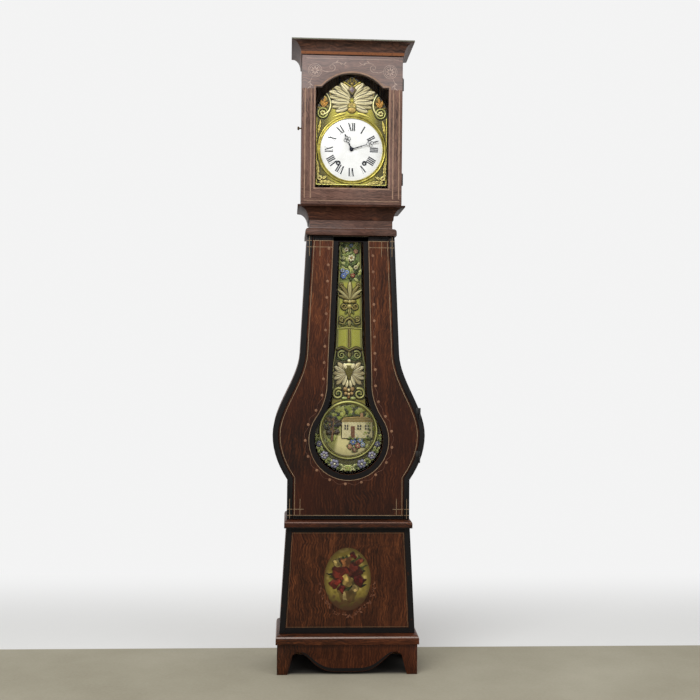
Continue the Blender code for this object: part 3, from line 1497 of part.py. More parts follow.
# Weights on their lines, run down
def weight(side, sign):
    x = sign * LINE_X
    slide = pivot(f"{side}_weight_axis", (x, LINE_Y, WEIGHT_Z))
    top = WEIGHT_Z + WEIGHT_HEIGHT
    edge = WEIGHT_RADIUS * 0.12
    profile = [
        (0.0, top + WEIGHT_NECK),
        (WEIGHT_NECK_RADIUS, top + WEIGHT_NECK),
        (WEIGHT_NECK_RADIUS, top + WEIGHT_SHOULDER),
        (WEIGHT_RADIUS - edge, top),
        (WEIGHT_RADIUS, top - edge),
        (WEIGHT_RADIUS, WEIGHT_Z + edge),
        (WEIGHT_RADIUS - edge, WEIGHT_Z),
        (0.0, WEIGHT_Z),
    ]
    turned(f"{side}_weight", profile, (x, LINE_Y), "Z", LEAD, 24, slide)
    rod(f"{side}_line", (x, LINE_Y, LINE_Z), (x, LINE_Y, BARREL_Z), LINE_RADIUS, CORD, 10, slide)


weight("going", 1)
weight("strike", -1)
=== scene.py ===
# %% [markdown]
# # A painted longcase clock with an embossed pendulum
# The solid model comes in first as a fixed frame: every board, wheel and hand is already at its place,
# in metres, with the front of the clock looking towards minus Y. What follows dresses that frame with
# paint, brass and glass.

# %% Load the frame
import json
import math
from contextlib import contextmanager

import bmesh
import bpy
import numpy as np
from mathutils import Matrix, Vector

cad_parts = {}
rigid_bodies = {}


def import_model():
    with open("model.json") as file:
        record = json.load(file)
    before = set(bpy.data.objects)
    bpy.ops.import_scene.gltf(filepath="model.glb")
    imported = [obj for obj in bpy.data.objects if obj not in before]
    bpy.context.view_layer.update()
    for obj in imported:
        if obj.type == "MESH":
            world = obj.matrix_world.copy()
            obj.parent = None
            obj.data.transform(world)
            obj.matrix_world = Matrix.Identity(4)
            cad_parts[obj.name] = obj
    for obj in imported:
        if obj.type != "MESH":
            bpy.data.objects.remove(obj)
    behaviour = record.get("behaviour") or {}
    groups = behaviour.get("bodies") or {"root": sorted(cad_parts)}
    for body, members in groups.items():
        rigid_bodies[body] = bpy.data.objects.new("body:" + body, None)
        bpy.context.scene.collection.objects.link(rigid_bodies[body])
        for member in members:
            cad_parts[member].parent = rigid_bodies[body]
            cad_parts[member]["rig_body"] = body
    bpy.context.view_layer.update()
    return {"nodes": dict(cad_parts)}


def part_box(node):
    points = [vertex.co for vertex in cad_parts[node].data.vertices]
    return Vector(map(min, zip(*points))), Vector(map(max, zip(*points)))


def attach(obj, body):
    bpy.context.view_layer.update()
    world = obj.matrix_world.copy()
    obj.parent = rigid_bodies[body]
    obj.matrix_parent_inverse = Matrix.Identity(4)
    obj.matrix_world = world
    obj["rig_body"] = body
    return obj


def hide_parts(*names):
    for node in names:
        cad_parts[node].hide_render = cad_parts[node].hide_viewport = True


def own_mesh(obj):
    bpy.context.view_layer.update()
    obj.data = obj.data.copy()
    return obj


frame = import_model()
nodes = frame["nodes"]

# %% [markdown]
# ## Camera
# The picture was taken from a little to the left, at the height of the middle of the case. The place and
# the three turns of the camera were fitted to measured points of the case. Building the matrix from its
# three axes avoids guessing the order of Euler turns.

# %% Camera
FRAME_PIXELS = 700
FOCAL_PIXELS = 1087.4
SENSOR = 36.0
camera_place = Vector((-0.2295, -4.1155, 1.1992))
yaw, pitch, roll = (math.radians(angle) for angle in (-3.280, -0.108, -0.565))
turn = Matrix.Rotation(yaw, 3, "Z") @ Matrix.Rotation(pitch, 3, "X") @ Matrix.Rotation(roll, 3, "Y")
camera_data = bpy.data.cameras.new("photo_camera")
camera_data.sensor_width = SENSOR
camera_data.lens = FOCAL_PIXELS * SENSOR / FRAME_PIXELS
camera = bpy.data.objects.new("photo_camera", camera_data)
bpy.context.scene.collection.objects.link(camera)
axes = Matrix((turn.col[0], turn.col[2], -turn.col[1])).transposed()
camera.matrix_world = Matrix.Translation(camera_place) @ axes.to_4x4()
bpy.context.scene.camera = camera
print("camera lens", round(camera_data.lens, 2), "mm at", tuple(camera_place))

# %% [markdown]
# ## Words for making pieces
# Most pieces start from a simple mesh, such as a grid or a circle, and are worked in edit mode. Four short
# words keep that apart from the shapes: start a piece, select it alone, edit all of it, give it its finish.


# %% Words for making pieces
def started(name, add_mesh, **settings):
    """A new piece from one of the tools that add a mesh."""
    bpy.ops.object.select_all(action="DESELECT")
    add_mesh(**settings)
    piece = bpy.context.object
    piece.name = name
    return piece


def only(piece):
    """Select this piece alone and make it the active one."""
    bpy.ops.object.select_all(action="DESELECT")
    piece.select_set(True)
    bpy.context.view_layer.objects.active = piece


@contextmanager
def editing(piece):
    """Edit mode on this piece alone, with all of it selected."""
    only(piece)
    bpy.ops.object.mode_set(mode="EDIT")
    bpy.ops.mesh.select_all(action="SELECT")
    yield
    bpy.ops.object.mode_set(mode="OBJECT")


def dress(piece, material):
    piece.data.materials.clear()
    piece.data.materials.append(material)


print("four words for making pieces")

# %% [markdown]
# ## Shader words
# Materials are written as sums and products. A small class wraps a socket, so that `1 - mask` adds a Math
# node by itself, and one method adds every other kind of node. Colours are noted as they look on a screen,
# from 0 to 255, and turned into the linear values that light is calculated with.


# %% Shader words
def paint(red, green, blue):
    """A colour as seen on a screen, as linear red, green, blue and full alpha."""
    linear = []
    for part in (red, green, blue):
        part = part / 255
        linear.append(part / 12.92 if part <= 0.04045 else ((part + 0.055) / 1.055) ** 2.4)
    return (*linear, 1.0)


class Value:
    """A number, colour or vector on its way through the nodes of a finish."""

    def __init__(self, finish, socket):
        self.finish = finish
        self.socket = socket

    def math(self, operation, first, second):
        return self.finish.node("ShaderNodeMath", {"operation": operation}, {0: first, 1: second})

    def __add__(self, other):
        return self.math("ADD", self, other)

    def __radd__(self, other):
        return self.math("ADD", other, self)

    def __sub__(self, other):
        return self.math("SUBTRACT", self, other)

    def __rsub__(self, other):
        return self.math("SUBTRACT", other, self)

    def __mul__(self, other):
        return self.math("MULTIPLY", self, other)

    def size(self):
        return self.math("ABSOLUTE", self, 0.0)

    def sine(self):
        return self.math("SINE", self, 0.0)

    def most(self, other):
        return self.math("MAXIMUM", self, other)

    def rising(self, low, high):
        """0 below low, 1 above high, and a soft step between them; low above high turns it round."""
        sockets = {"Value": self, "From Min": low, "From Max": high}
        return self.finish.node("ShaderNodeMapRange", {"interpolation_type": "SMOOTHSTEP"}, sockets)


class Finish:
    """One material, or the light of the world, built node by node."""

    def __init__(self, name, world=None):
        self.material = bpy.data.materials.new(name) if world is None else world
        self.material.use_nodes = True
        self.tree = self.material.node_tree
        self.tree.nodes.clear()

    def node(self, kind, settings=None, sockets=None, out=0):
        node = self.tree.nodes.new(kind)
        for key, value in (settings or {}).items():
            if key == "stops":
                elements = node.color_ramp.elements
                elements.remove(elements[-1])
                elements[0].position, elements[0].color = value[0]
                for place, colour in value[1:]:
                    elements.new(place).color = colour
            else:
                setattr(node, key, value)
        for key, value in (sockets or {}).items():
            if isinstance(value, Value):
                self.tree.links.new(value.socket, node.inputs[key])
            else:
                node.inputs[key].default_value = value
        return Value(self, node.outputs[out]) if node.outputs else None

    def place(self):
        return self.node("ShaderNodeTexCoord", out="Object")

    def part(self, vector, axis):
        return self.node("ShaderNodeSeparateXYZ", {}, {0: vector}, out=axis)

    def facing(self, axis):
        return self.part(self.node("ShaderNodeNewGeometry", out="Normal"), axis)

    def own(self, name, out):
        """A value that the mesh carries for each of its points."""
        return self.node("ShaderNodeAttribute", {"attribute_name": name}, out=out)

    def stretched(self, vector, factors):
        return self.node("ShaderNodeVectorMath", {"operation": "MULTIPLY"}, {0: vector, 1: factors})

    def shifted(self, vector, other):
        return self.node("ShaderNodeVectorMath", {"operation": "ADD"}, {0: vector, 1: other})

    def noise(self, vector, scale=1.0, detail=3.0, rough=0.55, out="Fac"):
        sockets = {"Vector": vector, "Scale": scale, "Detail": detail, "Roughness": rough}
        return self.node("ShaderNodeTexNoise", {}, sockets, out=out)

    def ramp(self, value, stops):
        return self.node("ShaderNodeValToRGB", {"stops": stops}, {"Fac": value})

    def mixed(self, first, second, share, blend="MIX"):
        settings = {"data_type": "RGBA", "blend_type": blend}
        return self.node("ShaderNodeMix", settings, {0: share, 6: first, 7: second}, out=2)

    def bump(self, height, strength, distance):
        return self.node("ShaderNodeBump", {}, {"Strength": strength, "Distance": distance, "Height": height})

    def surface(self, **sockets):
        names = {key.replace("_", " ").title().replace("Ior", "IOR"): value for key, value in sockets.items()}
        shader = self.node("ShaderNodeBsdfPrincipled", {}, names)
        self.node("ShaderNodeOutputMaterial", {}, {"Surface": shader})
        return self.material


print("a screen grey of 128 is", round(paint(128, 128, 128)[0], 3), "in linear light")

# %% [markdown]
# ## Floor and light
# The clock stands on a pale concrete floor in front of a white room. A wall behind it would hide the back
# from other views, so the floor itself turns white a hand's width behind the case. One broad soft lamp
# hangs in front of the head, as in the room, a weak one fills the other side, and the sky is white to the
# eye, to metal and to glass, but lights the clock at a moderate level.
# Under the case, between its feet, the floor is painted dark: a painted shadow.

# %% Floor and light
FLOOR_EDGE = 0.23
FLOOR_REACH = 9.0
EDGE_BLUR = 0.004
FOOT_SHADE_SIDE = (0.262, 0.222)
FOOT_SHADE_FRONT = (-0.142, -0.100)
FOOT_SHADE_BACK = (0.152, 0.142)
ROOM_WHITE = (0.90, 0.90, 0.90, 1.0)
SKY_LIGHT = 0.5


def floor_finish():
    finish = Finish("studio_floor")
    place = finish.place()
    cloud = finish.noise(place, 1.6, 4.0, 0.6)
    grit = finish.noise(place, 90.0, 2.0, 0.5)
    tone = finish.ramp(cloud * 0.8 + grit * 0.2, [(0.3, paint(156, 149, 128)), (0.7, paint(180, 174, 154))])
    depth = finish.part(place, "Y")
    behind = depth.rising(FLOOR_EDGE - EDGE_BLUR, FLOOR_EDGE + EDGE_BLUR)
    colour = finish.mixed(tone, paint(246, 246, 244), behind)
    # Painted shadow: the floor is dark under the case, between its feet.
    inside = finish.part(place, "X").size().rising(*FOOT_SHADE_SIDE) * depth.rising(*FOOT_SHADE_FRONT)
    colour = finish.mixed(colour, paint(40, 36, 30), inside * depth.rising(*FOOT_SHADE_BACK))
    relief = finish.bump(grit, 0.15, 0.0006)
    sockets = {"Base Color": colour, "Roughness": 0.85, "Normal": relief}
    ground = finish.node("ShaderNodeBsdfPrincipled", {}, sockets)
    reach = finish.node("ShaderNodeVectorMath", {"operation": "LENGTH"}, {0: place}, out="Value")
    far = depth.rising(0.35, 1.7).most(reach.rising(2.6, 5.0))
    seen = finish.node("ShaderNodeLightPath", out="Is Camera Ray")
    shine = finish.node("ShaderNodeLightPath", out="Is Glossy Ray")
    white = finish.node("ShaderNodeEmission", {}, {"Color": ROOM_WHITE, "Strength": 1.0})
    blend = finish.node("ShaderNodeMixShader", {}, {0: far * seen.most(shine), 1: ground, 2: white})
    finish.node("ShaderNodeOutputMaterial", {}, {"Surface": blend})
    return finish.material


floor = started(
    "studio_floor", bpy.ops.mesh.primitive_grid_add, x_subdivisions=4, y_subdivisions=4, size=2 * FLOOR_REACH
)
dress(floor, floor_finish())


def soft_lamp(name, place, aim, width, height, watts):
    data = bpy.data.lights.new(name, "AREA")
    data.shape = "RECTANGLE"
    data.size = width
    data.size_y = height
    data.energy = watts
    lamp = bpy.data.objects.new(name, data)
    bpy.context.scene.collection.objects.link(lamp)
    way = Vector(aim) - Vector(place)
    lamp.matrix_world = Matrix.Translation(place) @ way.to_track_quat("-Z", "Y").to_matrix().to_4x4()


soft_lamp("key_lamp", (-1.1, -2.6, 3.4), (0.0, 0.0, 1.7), 2.2, 1.6, 80.0)
soft_lamp("fill_lamp", (2.6, -2.4, 1.8), (0.0, 0.0, 1.0), 1.8, 2.4, 26.0)

sky = Finish("white_room", bpy.data.worlds.new("white_room"))
bpy.context.scene.world = sky.material
ray_kinds = ("Is Camera Ray", "Is Glossy Ray", "Is Transmission Ray")
camera_ray, glossy_ray, clear_ray = (sky.node("ShaderNodeLightPath", out=kind) for kind in ray_kinds)
bright = sky.node("ShaderNodeBackground", {}, {"Color": ROOM_WHITE, "Strength": 1.0})
lighting = sky.node("ShaderNodeBackground", {}, {"Color": (1.0, 1.0, 1.0, 1.0), "Strength": SKY_LIGHT})
seen = camera_ray.most(glossy_ray).most(clear_ray)
choice = sky.node("ShaderNodeMixShader", {}, {0: seen, 1: lighting, 2: bright})
sky.node("ShaderNodeOutputWorld", {}, {"Surface": choice})
bpy.context.scene.view_settings.view_transform = "Standard"
print("floor, two lamps and a white room")

# %% [markdown]
# ## Painted graining
# The case is softwood painted to look like a rich veneer: a red-brown ground, streaks combed through a dark
# glaze while it was wet, and varnish on top. One function makes it for any direction of grain. The streaks
# are noise stretched along the grain; before that, a slow and a quick wobble push the place sideways, which
# gives the flames and the comb's ripple. Bands and lines that run round a moulding are masks on the height.
# The trunk door is painted lighter towards its top and darker lower down: painted light from above.

# %% Painted graining
GRAIN_STOPS = [
    (0.22, paint(28, 14, 8)),
    (0.40, paint(50, 26, 14)),
    (0.54, paint(70, 37, 20)),
    (0.70, paint(94, 52, 29)),
    (0.88, paint(126, 74, 42)),
]
BLACK_PAINT = paint(20, 18, 18)
GOLD_PAINT = paint(168, 144, 114)
VEIL_PAINT = paint(174, 148, 138)
HAZE_PAINT = paint(172, 164, 164)
WARM_PAINT = paint(92, 42, 24)
COMB_PITCH = 0.0105
FINE_PITCH = 0.0058
GRAIN_STRETCH = 0.10
RIPPLE_ALONG = 38.0
RIPPLE_ACROSS = 9.0
SLOW_PUSH = 0.06
COMB_PUSH = 0.013
RAIL_JOINT = 0.002
RAIL_HAZE = 0.24
PAINTED_LIGHT_RISE = 0.245
PAINTED_LIGHT_DROP = 0.184
LINE_BLUR = 0.0006
PLANK_WAVE = 41.0


def grain_tone(finish, place, along):
    """How light the graining is, about 0 to 1, with the grain along X, Y or Z; and its finest hairs."""
    slim = tuple(GRAIN_STRETCH if axis == along else 1.0 for axis in "XYZ")
    quick = tuple(RIPPLE_ALONG if axis == along else RIPPLE_ACROSS for axis in "XYZ")
    pushed = place
    for source, scale, detail, reach in (
        (place, 5.0, 2.0, SLOW_PUSH),
        (finish.stretched(place, quick), 1.0, 1.0, COMB_PUSH),
    ):
        push = finish.shifted(finish.noise(source, scale, detail, 0.5, out="Color"), (-0.5, -0.5, -0.5))
        pushed = finish.shifted(pushed, finish.stretched(push, (reach, reach, reach)))
    lengthwise = finish.stretched(pushed, slim)
    flames = finish.noise(lengthwise, 52.0, 2.0, 0.5)
    streaks = finish.noise(lengthwise, 190.0, 3.0, 0.6)
    hairs = finish.noise(lengthwise, 640.0, 2.0, 0.6)
    first, second = {"X": ("Z", "Y"), "Y": ("X", "Z"), "Z": ("X", "Y")}[along]
    across = finish.part(pushed, first) + finish.part(pushed, second) * 0.93
    comb = (across * (2 * math.pi / COMB_PITCH)).sine().rising(-0.95, 0.25)
    fine_comb = (across * (2 * math.pi / FINE_PITCH)).sine() * 0.5
    where = finish.noise(place, 8.0, 2.0, 0.5)
    fading = finish.noise(lengthwise, 75.0, 2.0, 0.5).rising(0.34, 0.58)
    tone = flames * 0.30 + streaks * 0.48 + hairs * 0.22
    tone = (tone - 0.5) * 1.75 + 0.5 + (comb - 0.68) * where.rising(0.38, 0.66) * fading * 0.28
    return tone + fine_comb * where.rising(0.60, 0.36) * 0.16, hairs


def graining(
    name, along="Z", veil=0.0, black_front=False, lines=(), rails=None, depth=0.0, painted_light_heights=None, gloss=0.14
):
    """Painted graining; depth darkens it, veil dulls it, rails gives heights outside which it runs along X.

    A pair of heights for painted light makes the tone lighter upwards between them and darker below them.
    """
    finish = Finish(name)
    place = finish.place()
    tone, hairs = grain_tone(finish, place, along)
    height = finish.part(place, "Z")
    if rails:
        crosswise, _ = grain_tone(finish, place, "X")
        on_upper = height.rising(rails[1] - RAIL_JOINT, rails[1])
        on_rail = on_upper.most(height.rising(rails[0] + RAIL_JOINT, rails[0]))
        tone = tone + (crosswise - tone) * on_rail
    patches = finish.noise(place, 4.2, 3.0, 0.55)
    tone = tone + (patches - 0.5) * 0.24 - depth
    # Painted light: the tone grows lighter upwards between the two heights and is darker below them.
    if painted_light_heights:
        tone = tone + height.rising(*painted_light_heights) * PAINTED_LIGHT_RISE - PAINTED_LIGHT_DROP
    colour = finish.ramp(tone, GRAIN_STOPS)
    warm = finish.noise(place, 3.1, 2.0, 0.5).rising(0.42, 0.66) * 0.24
    colour = finish.mixed(colour, WARM_PAINT, warm)
    if veil:
        dull = (finish.noise(place, 7.0, 3.0, 0.6) * 0.5 + tone * 0.6).rising(0.1, 0.9) * veil
        colour = finish.mixed(colour, VEIL_PAINT, dull)
        if rails:
            colour = finish.mixed(colour, HAZE_PAINT, on_upper * RAIL_HAZE)
    upright = finish.facing("Z").size().rising(0.85, 0.6)
    # Each line is a colour at one height on upright faces; some are painted lines, some painted highlights.
    for level, half, line_colour in lines:
        band = (height - level).size().rising(half + LINE_BLUR, half)
        worn = finish.noise(place, 160.0, 2.0, 0.6).rising(0.25, 0.45)
        colour = finish.mixed(colour, line_colour, band * worn * upright)
    if black_front:
        scuff = finish.noise(place, 60.0, 3.0, 0.6).rising(0.78, 0.64)
        colour = finish.mixed(colour, BLACK_PAINT, finish.facing("Y").rising(-0.55, -0.85) * scuff)
    rough = 0.36 + hairs * 0.22
    relief = finish.bump(tone, 0.25, 0.0008)
    return finish.surface(
        base_color=colour,
        roughness=rough,
        normal=relief,
        specular_ior_level=gloss,
        coat_weight=gloss * 0.3,
        coat_roughness=0.3,
    )


def bare_planks(name):
    """Unpainted softwood of the back, the dust board and the seat board."""
    finish = Finish(name)
    place = finish.place()
    tone, hairs = grain_tone(finish, place, "Z")
    board = (finish.part(place, "X") * PLANK_WAVE).sine().rising(-1.0, -0.985)
    tones = [(0.3, paint(92, 62, 38)), (0.5, paint(134, 97, 62)), (0.7, paint(164, 127, 86))]
    colour = finish.mixed(paint(52, 36, 24), finish.ramp(tone, tones), board)
    relief = finish.bump(tone, 0.3, 0.001)
    return finish.surface(base_color=colour, roughness=0.62 + hairs * 0.2, normal=relief)


upright_wood = graining("upright_graining")
# The trunk door is painted lighter towards its top, as painted light from above.
door_wood = graining("trunk_door_graining", painted_light_heights=(0.85, 1.35))
edge_wood = graining("edge_boards", black_front=True)
head_wood = graining("head_graining", veil=0.35)
head_rail_wood = graining("head_moulding", along="X", veil=0.06, depth=0.13, gloss=0.06)
plain_planks = bare_planks("bare_planks")
print("wood finishes:", upright_wood.name, edge_wood.name, head_wood.name, plain_planks.name)

# %% [markdown]
# ## Metals, glass, enamel and line paint
# Metals get their life from roughness and a faint tarnish, so each one is the same small recipe with its
# own colours. Glass is clear, and turns to a mirror the more aslant it is seen, which lets the light through
# to the pendulum. Enamel is almost white and glossy. Thin painted lines share one recipe, with worn places.


# %% Metals, glass, enamel and line paint
GLASS_SLANT = 5.0
GLASS_MOST = 0.85
GLASS_LEAST = 0.006


def metal(name, bright_tone, dull_tone, rough, tarnish_scale=26.0, metallic=1.0, pitted=0.06, steel_end=None):
    finish = Finish(name)
    place = finish.place()
    cloud = finish.noise(place, tarnish_scale, 4.0, 0.62)
    fine = finish.noise(place, tarnish_scale * 14, 2.0, 0.6)
    colour = finish.mixed(bright_tone, dull_tone, cloud.rising(0.38, 0.72))
    if steel_end is not None:
        ahead = finish.part(place, "Y").rising(steel_end + 0.001, steel_end)
        colour = finish.mixed(colour, paint(208, 208, 206), ahead)
    relief = finish.bump(cloud * 0.4 + fine * 0.6, pitted, 0.0006)
    return finish.surface(base_color=colour, roughness=rough + cloud * 0.2, metallic=metallic, normal=relief)


def line_paint(name, light, dark, wear=0.3, shine=0.25):
    finish = Finish(name)
    place = finish.place()
    cloud = finish.noise(place, 35.0, 3.0, 0.6)
    worn = finish.noise(place, 210.0, 3.0, 0.65)
    colour = finish.mixed(light, dark, (cloud * 0.7 + worn * 0.3).rising(wear, wear + 0.4))
    relief = finish.bump(worn, 0.15, 0.0004)
    return finish.surface(
        base_color=colour, roughness=0.40 + worn * 0.2, normal=relief, specular_ior_level=shine
    )


def window_glass(name):
    finish = Finish(name)
    ripple = finish.noise(finish.place(), 9.0, 2.0, 0.5)
    relief = finish.bump(ripple, 0.04, 0.002)
    clear = finish.node("ShaderNodeBsdfTransparent", {}, {"Color": (0.985, 0.988, 0.985, 1.0)})
    sockets = {"Color": (1, 1, 1, 1), "Roughness": 0.02, "Normal": relief}
    mirror = finish.node("ShaderNodeBsdfGlossy", {}, sockets)
    glance = finish.node("ShaderNodeLayerWeight", {}, {"Blend": 0.5}, out="Facing")
    inside = finish.node("ShaderNodeNewGeometry", out="Backfacing")
    share = (glance.math("POWER", glance, GLASS_SLANT) * GLASS_MOST + GLASS_LEAST) * (1 - inside)
    blend = finish.node("ShaderNodeMixShader", {}, {0: share, 1: clear, 2: mirror})
    finish.node("ShaderNodeOutputMaterial", {}, {"Surface": blend})
    return finish.material


def enamel(name):
    finish = Finish(name)
    place = finish.place()
    cloud = finish.noise(place, 18.0, 3.0, 0.5)
    speck = finish.noise(place, 420.0, 2.0, 0.5).rising(0.70, 0.78)
    colour = finish.mixed(paint(252, 252, 252), paint(242, 242, 241), cloud.rising(0.4, 0.7))
    colour = finish.mixed(colour, paint(150, 140, 125), speck * 0.5)
    relief = finish.bump(cloud, 0.05, 0.001)
    return finish.surface(base_color=colour, roughness=0.16 + cloud * 0.08, normal=relief, coat_weight=0.5)


def twisted_line(name, centre):
    """Hemp line: the lay runs round it, worked out from the angle about its own middle."""
    finish = Finish(name)
    place = finish.shifted(finish.place(), (-centre[0], -centre[1], 0.0))
    across = finish.part(place, "X")
    deep = finish.part(place, "Y")
    around = across.math("ARCTAN2", across, deep)
    lay = (around * 3.0 + finish.part(place, "Z") * 900.0).sine()
    fuzz = finish.noise(place, 900.0, 2.0, 0.6)
    colour = finish.mixed(paint(92, 72, 48), paint(170, 142, 100), (lay * 0.35 + fuzz * 0.7).rising(0.0, 0.8))
    return finish.surface(base_color=colour, roughness=0.85, normal=finish.bump(lay, 0.8, 0.0006))


brass = metal("polished_brass", paint(178, 166, 84), paint(112, 102, 44), 0.26)
worked_brass = metal("wheel_brass", paint(206, 168, 86), paint(140, 106, 48), 0.30, 40.0)
old_brass = metal("old_brass", paint(84, 66, 40), paint(46, 36, 26), 0.42, 60.0, 0.7)
iron = metal("forged_iron", paint(70, 66, 62), paint(40, 34, 30), 0.42, 60.0, 0.85, 0.2)
hinge_iron = metal("hinge_iron", paint(30, 27, 26), paint(20, 18, 17), 0.5, 70.0, 0.2, 0.2)
blued_steel = metal("blued_steel", paint(30, 34, 46), paint(18, 20, 26), 0.30, 90.0, 0.8)
cast_iron = metal("cast_iron", paint(78, 74, 70), paint(50, 42, 36), 0.55, 120.0, 0.75, 0.35)
bell_metal = metal("bell_metal", paint(206, 178, 120), paint(140, 112, 64), 0.26, 30.0)
black_line = line_paint("black_band_paint", BLACK_PAINT, paint(34, 27, 24), 0.45, 0.12)
gold_line = line_paint("gold_line_paint", GOLD_PAINT, paint(116, 88, 62), 0.36)
cream_dot = line_paint("cream_dot_paint", paint(144, 106, 80), paint(96, 64, 46), 0.38)
faint_line = line_paint("faint_line_paint", paint(112, 88, 62), paint(78, 56, 40), 0.36)
vine_line = line_paint("vine_paint", paint(128, 88, 70), paint(84, 50, 38), 0.34)
pale_line = line_paint("grey_pink_line_paint", paint(180, 160, 150), paint(138, 116, 106), 0.38)
tan_line = line_paint("tan_stripe_paint", paint(156, 126, 104), paint(116, 88, 72), 0.38)
numeral_ink = line_paint("numeral_black", paint(26, 30, 42), paint(40, 46, 60), 0.5, 0.2)
glass = window_glass("window_pane")
dial_white = enamel("dial_enamel")
print("metals, glass, enamel and paints ready")

# %% [markdown]
# ## Boards that stay as they are
# Flat boards of the frame already have the right shape. They keep showing: each gets its finish, a Weld to
# join the loose triangles, and a small Bevel, because no painted edge is knife sharp. Wheels, plates, posts
# and panes only get their finish.


# %% Boards that stay as they are
BOARD_EASE = 0.0009
BOARD_CREASE = 35.0
MERGE = 0.00001


def ease_edges(piece, width, crease):
    """A small bevel on every edge sharper than crease, in degrees."""
    edge = piece.modifiers.new("eased_edge", "BEVEL")
    edge.width = width
    edge.segments = 2
    edge.limit_method = "ANGLE"
    edge.angle_limit = math.radians(crease)
    return edge.name


def finish_node(name, material, ease):
    node = nodes[name]
    dress(node, material)
    if ease:
        weld = node.modifiers.new("join_triangles", "WELD")
        weld.merge_threshold = MERGE
        ease_edges(node, ease, BOARD_CREASE)


flat_boards = {
    door_wood: ("trunk_door",),
    upright_wood: ("base_front_panel", "foot_side_left", "foot_side_right"),
    edge_wood: ("base_side_left", "base_side_right"),
    head_wood: ("head_side_left", "head_side_right"),
    plain_planks: ("case_back", "head_back", "head_top", "seat_board"),
}
movement = {
    iron: ("cage_frame", "hammer", "pendulum_rod"),
    worked_brass: (
        "front_plate",
        "rear_plate",
        "going_great_wheel",
        "strike_great_wheel",
        "third_wheel",
        "escape_wheel",
        "pin_wheel",
        "minute_wheel",
        "hour_wheel",
        "fly",
    ),
    blued_steel: ("anchor", "minute_arbor"),
    glass: ("trunk_glass", "head_glass"),
}
for group, ease in ((flat_boards, BOARD_EASE), (movement, 0.0)):
    for material, names in group.items():
        for name in names:
            finish_node(name, material, ease)
    print(sum(len(names) for names in group.values()), "nodes finished in place")

# %% [markdown]
# ## Mouldings and bent sides
# The mouldings and the bellied sides are curved, and the frame cuts a curve into short flats. A copy of the
# node is merged, its edges are eased with a bevel, and it is shaded smooth except at real edges. The copy
# stands for the node; the node itself is left untouched. The mouldings have lines of their own: a painted
# highlight along the upper edge of the plinth and the waist ledges, a black line under the waist ledge, a
# worn pale line on the neck ledge, and a green-grey edge with an orange line on the cornice.


# %% Mouldings and bent sides
def eased_copy(name, new_name, material, ease=0.0008, crease=32.0):
    source = nodes[name]
    piece = bpy.data.objects.new(new_name, source.data.copy())
    bpy.context.scene.collection.objects.link(piece)
    with editing(piece):
        bpy.ops.mesh.remove_doubles(threshold=MERGE)
        bpy.ops.mesh.dissolve_limited(angle_limit=math.radians(0.5))
    if ease:
        bpy.ops.object.modifier_apply(modifier=ease_edges(piece, ease, crease))
    bpy.ops.object.shade_smooth_by_angle(angle=math.radians(crease))
    dress(piece, material)
    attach(piece, nodes[name]["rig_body"])
    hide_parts(name)


_, plinth_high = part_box("plinth_ledge")
waist_low, waist_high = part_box("waist_ledge")
neck_low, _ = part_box("neck_ledge")
cornice_low, cornice_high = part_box("cornice")
# The plinth's line and the upper waist line are painted highlights along the top edge; the lower waist line
# is black.
plinth_highlight_line = [(plinth_high.z - 0.007, 0.0022, paint(150, 132, 124))]
waist_lines = [(waist_high.z - 0.0070, 0.0012, paint(122, 92, 80)), (waist_low.z + 0.001, 0.003, BLACK_PAINT)]
neck_lines = [(neck_low.z + 0.0265, 0.0012, paint(132, 116, 108))]
cornice_lines = [
    (cornice_high.z, 0.0042, paint(104, 106, 92)),
    (cornice_low.z + 0.006, 0.0045, paint(128, 80, 50)),
]
plinth_wood = graining("plinth_moulding", "X", lines=plinth_highlight_line, depth=-0.02)
waist_wood = graining("waist_moulding", "X", lines=waist_lines, depth=0.09)
neck_wood = graining("neck_moulding", "X", veil=0.22, lines=neck_lines, depth=0.08)
cornice_wood = graining("cornice_moulding", "X", veil=0.15, lines=cornice_lines, depth=0.05)
for name, new_name, material in (
    ("plinth_ledge", "plinth_moulding", plinth_wood),
    ("waist_ledge", "waist_moulding", waist_wood),
    ("neck_ledge", "neck_moulding", neck_wood),
    ("neck_cove", "neck_hollow", head_rail_wood),
    ("cornice", "cornice_moulding", cornice_wood),
    ("foot_apron", "front_apron", graining("apron_graining", "Z", depth=0.04)),
    ("trunk_side_left", "left_bent_side", edge_wood),
    ("trunk_side_right", "right_bent_side", edge_wood),
):
    eased_copy(name, new_name, material)
pane_low, pane_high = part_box("head_glass")
head_door_wood = graining("head_door_graining", veil=0.36, rails=(pane_low.z + 0.004, pane_high.z - 0.058))
eased_copy("head_door", "head_door_frame", head_door_wood)
for hinge in ("trunk_hinge_lower", "trunk_hinge_upper", "head_hinge_lower", "head_hinge_upper"):
    for leaf in ("door", "fixed"):
        eased_copy(f"{hinge}_{leaf}", f"{hinge}_{leaf}_leaf", hinge_iron, 0.0004)
drum_finish = metal("drum_brass", paint(206, 168, 86), paint(140, 106, 48), 0.30, 40.0, steel_end=-0.045)
for barrel in ("going_barrel", "strike_barrel"):
    eased_copy(barrel, f"{barrel}_drum", drum_finish, 0.0003)
eased_copy("pendulum_lens", "pendulum_lens_back", cast_iron, 0.0006)
eased_copy("dial", "dial_plate", dial_white, 0.0004, 25.0)
print("curved wood, hinges, drums and dial eased and smoothed")

# %% [markdown]
# ## Sheet and line helpers
# Painted bands, lines and numerals are all thin flat shapes. Two helpers make them: one gives a flat
# outline its thickness by extruding it, the other lays a narrow ribbon along a path. A third reads the
# outline of a board's own front face, so that the paint follows the door exactly.


# %% Sheet and line helpers
PAINT_RISE = 0.0003


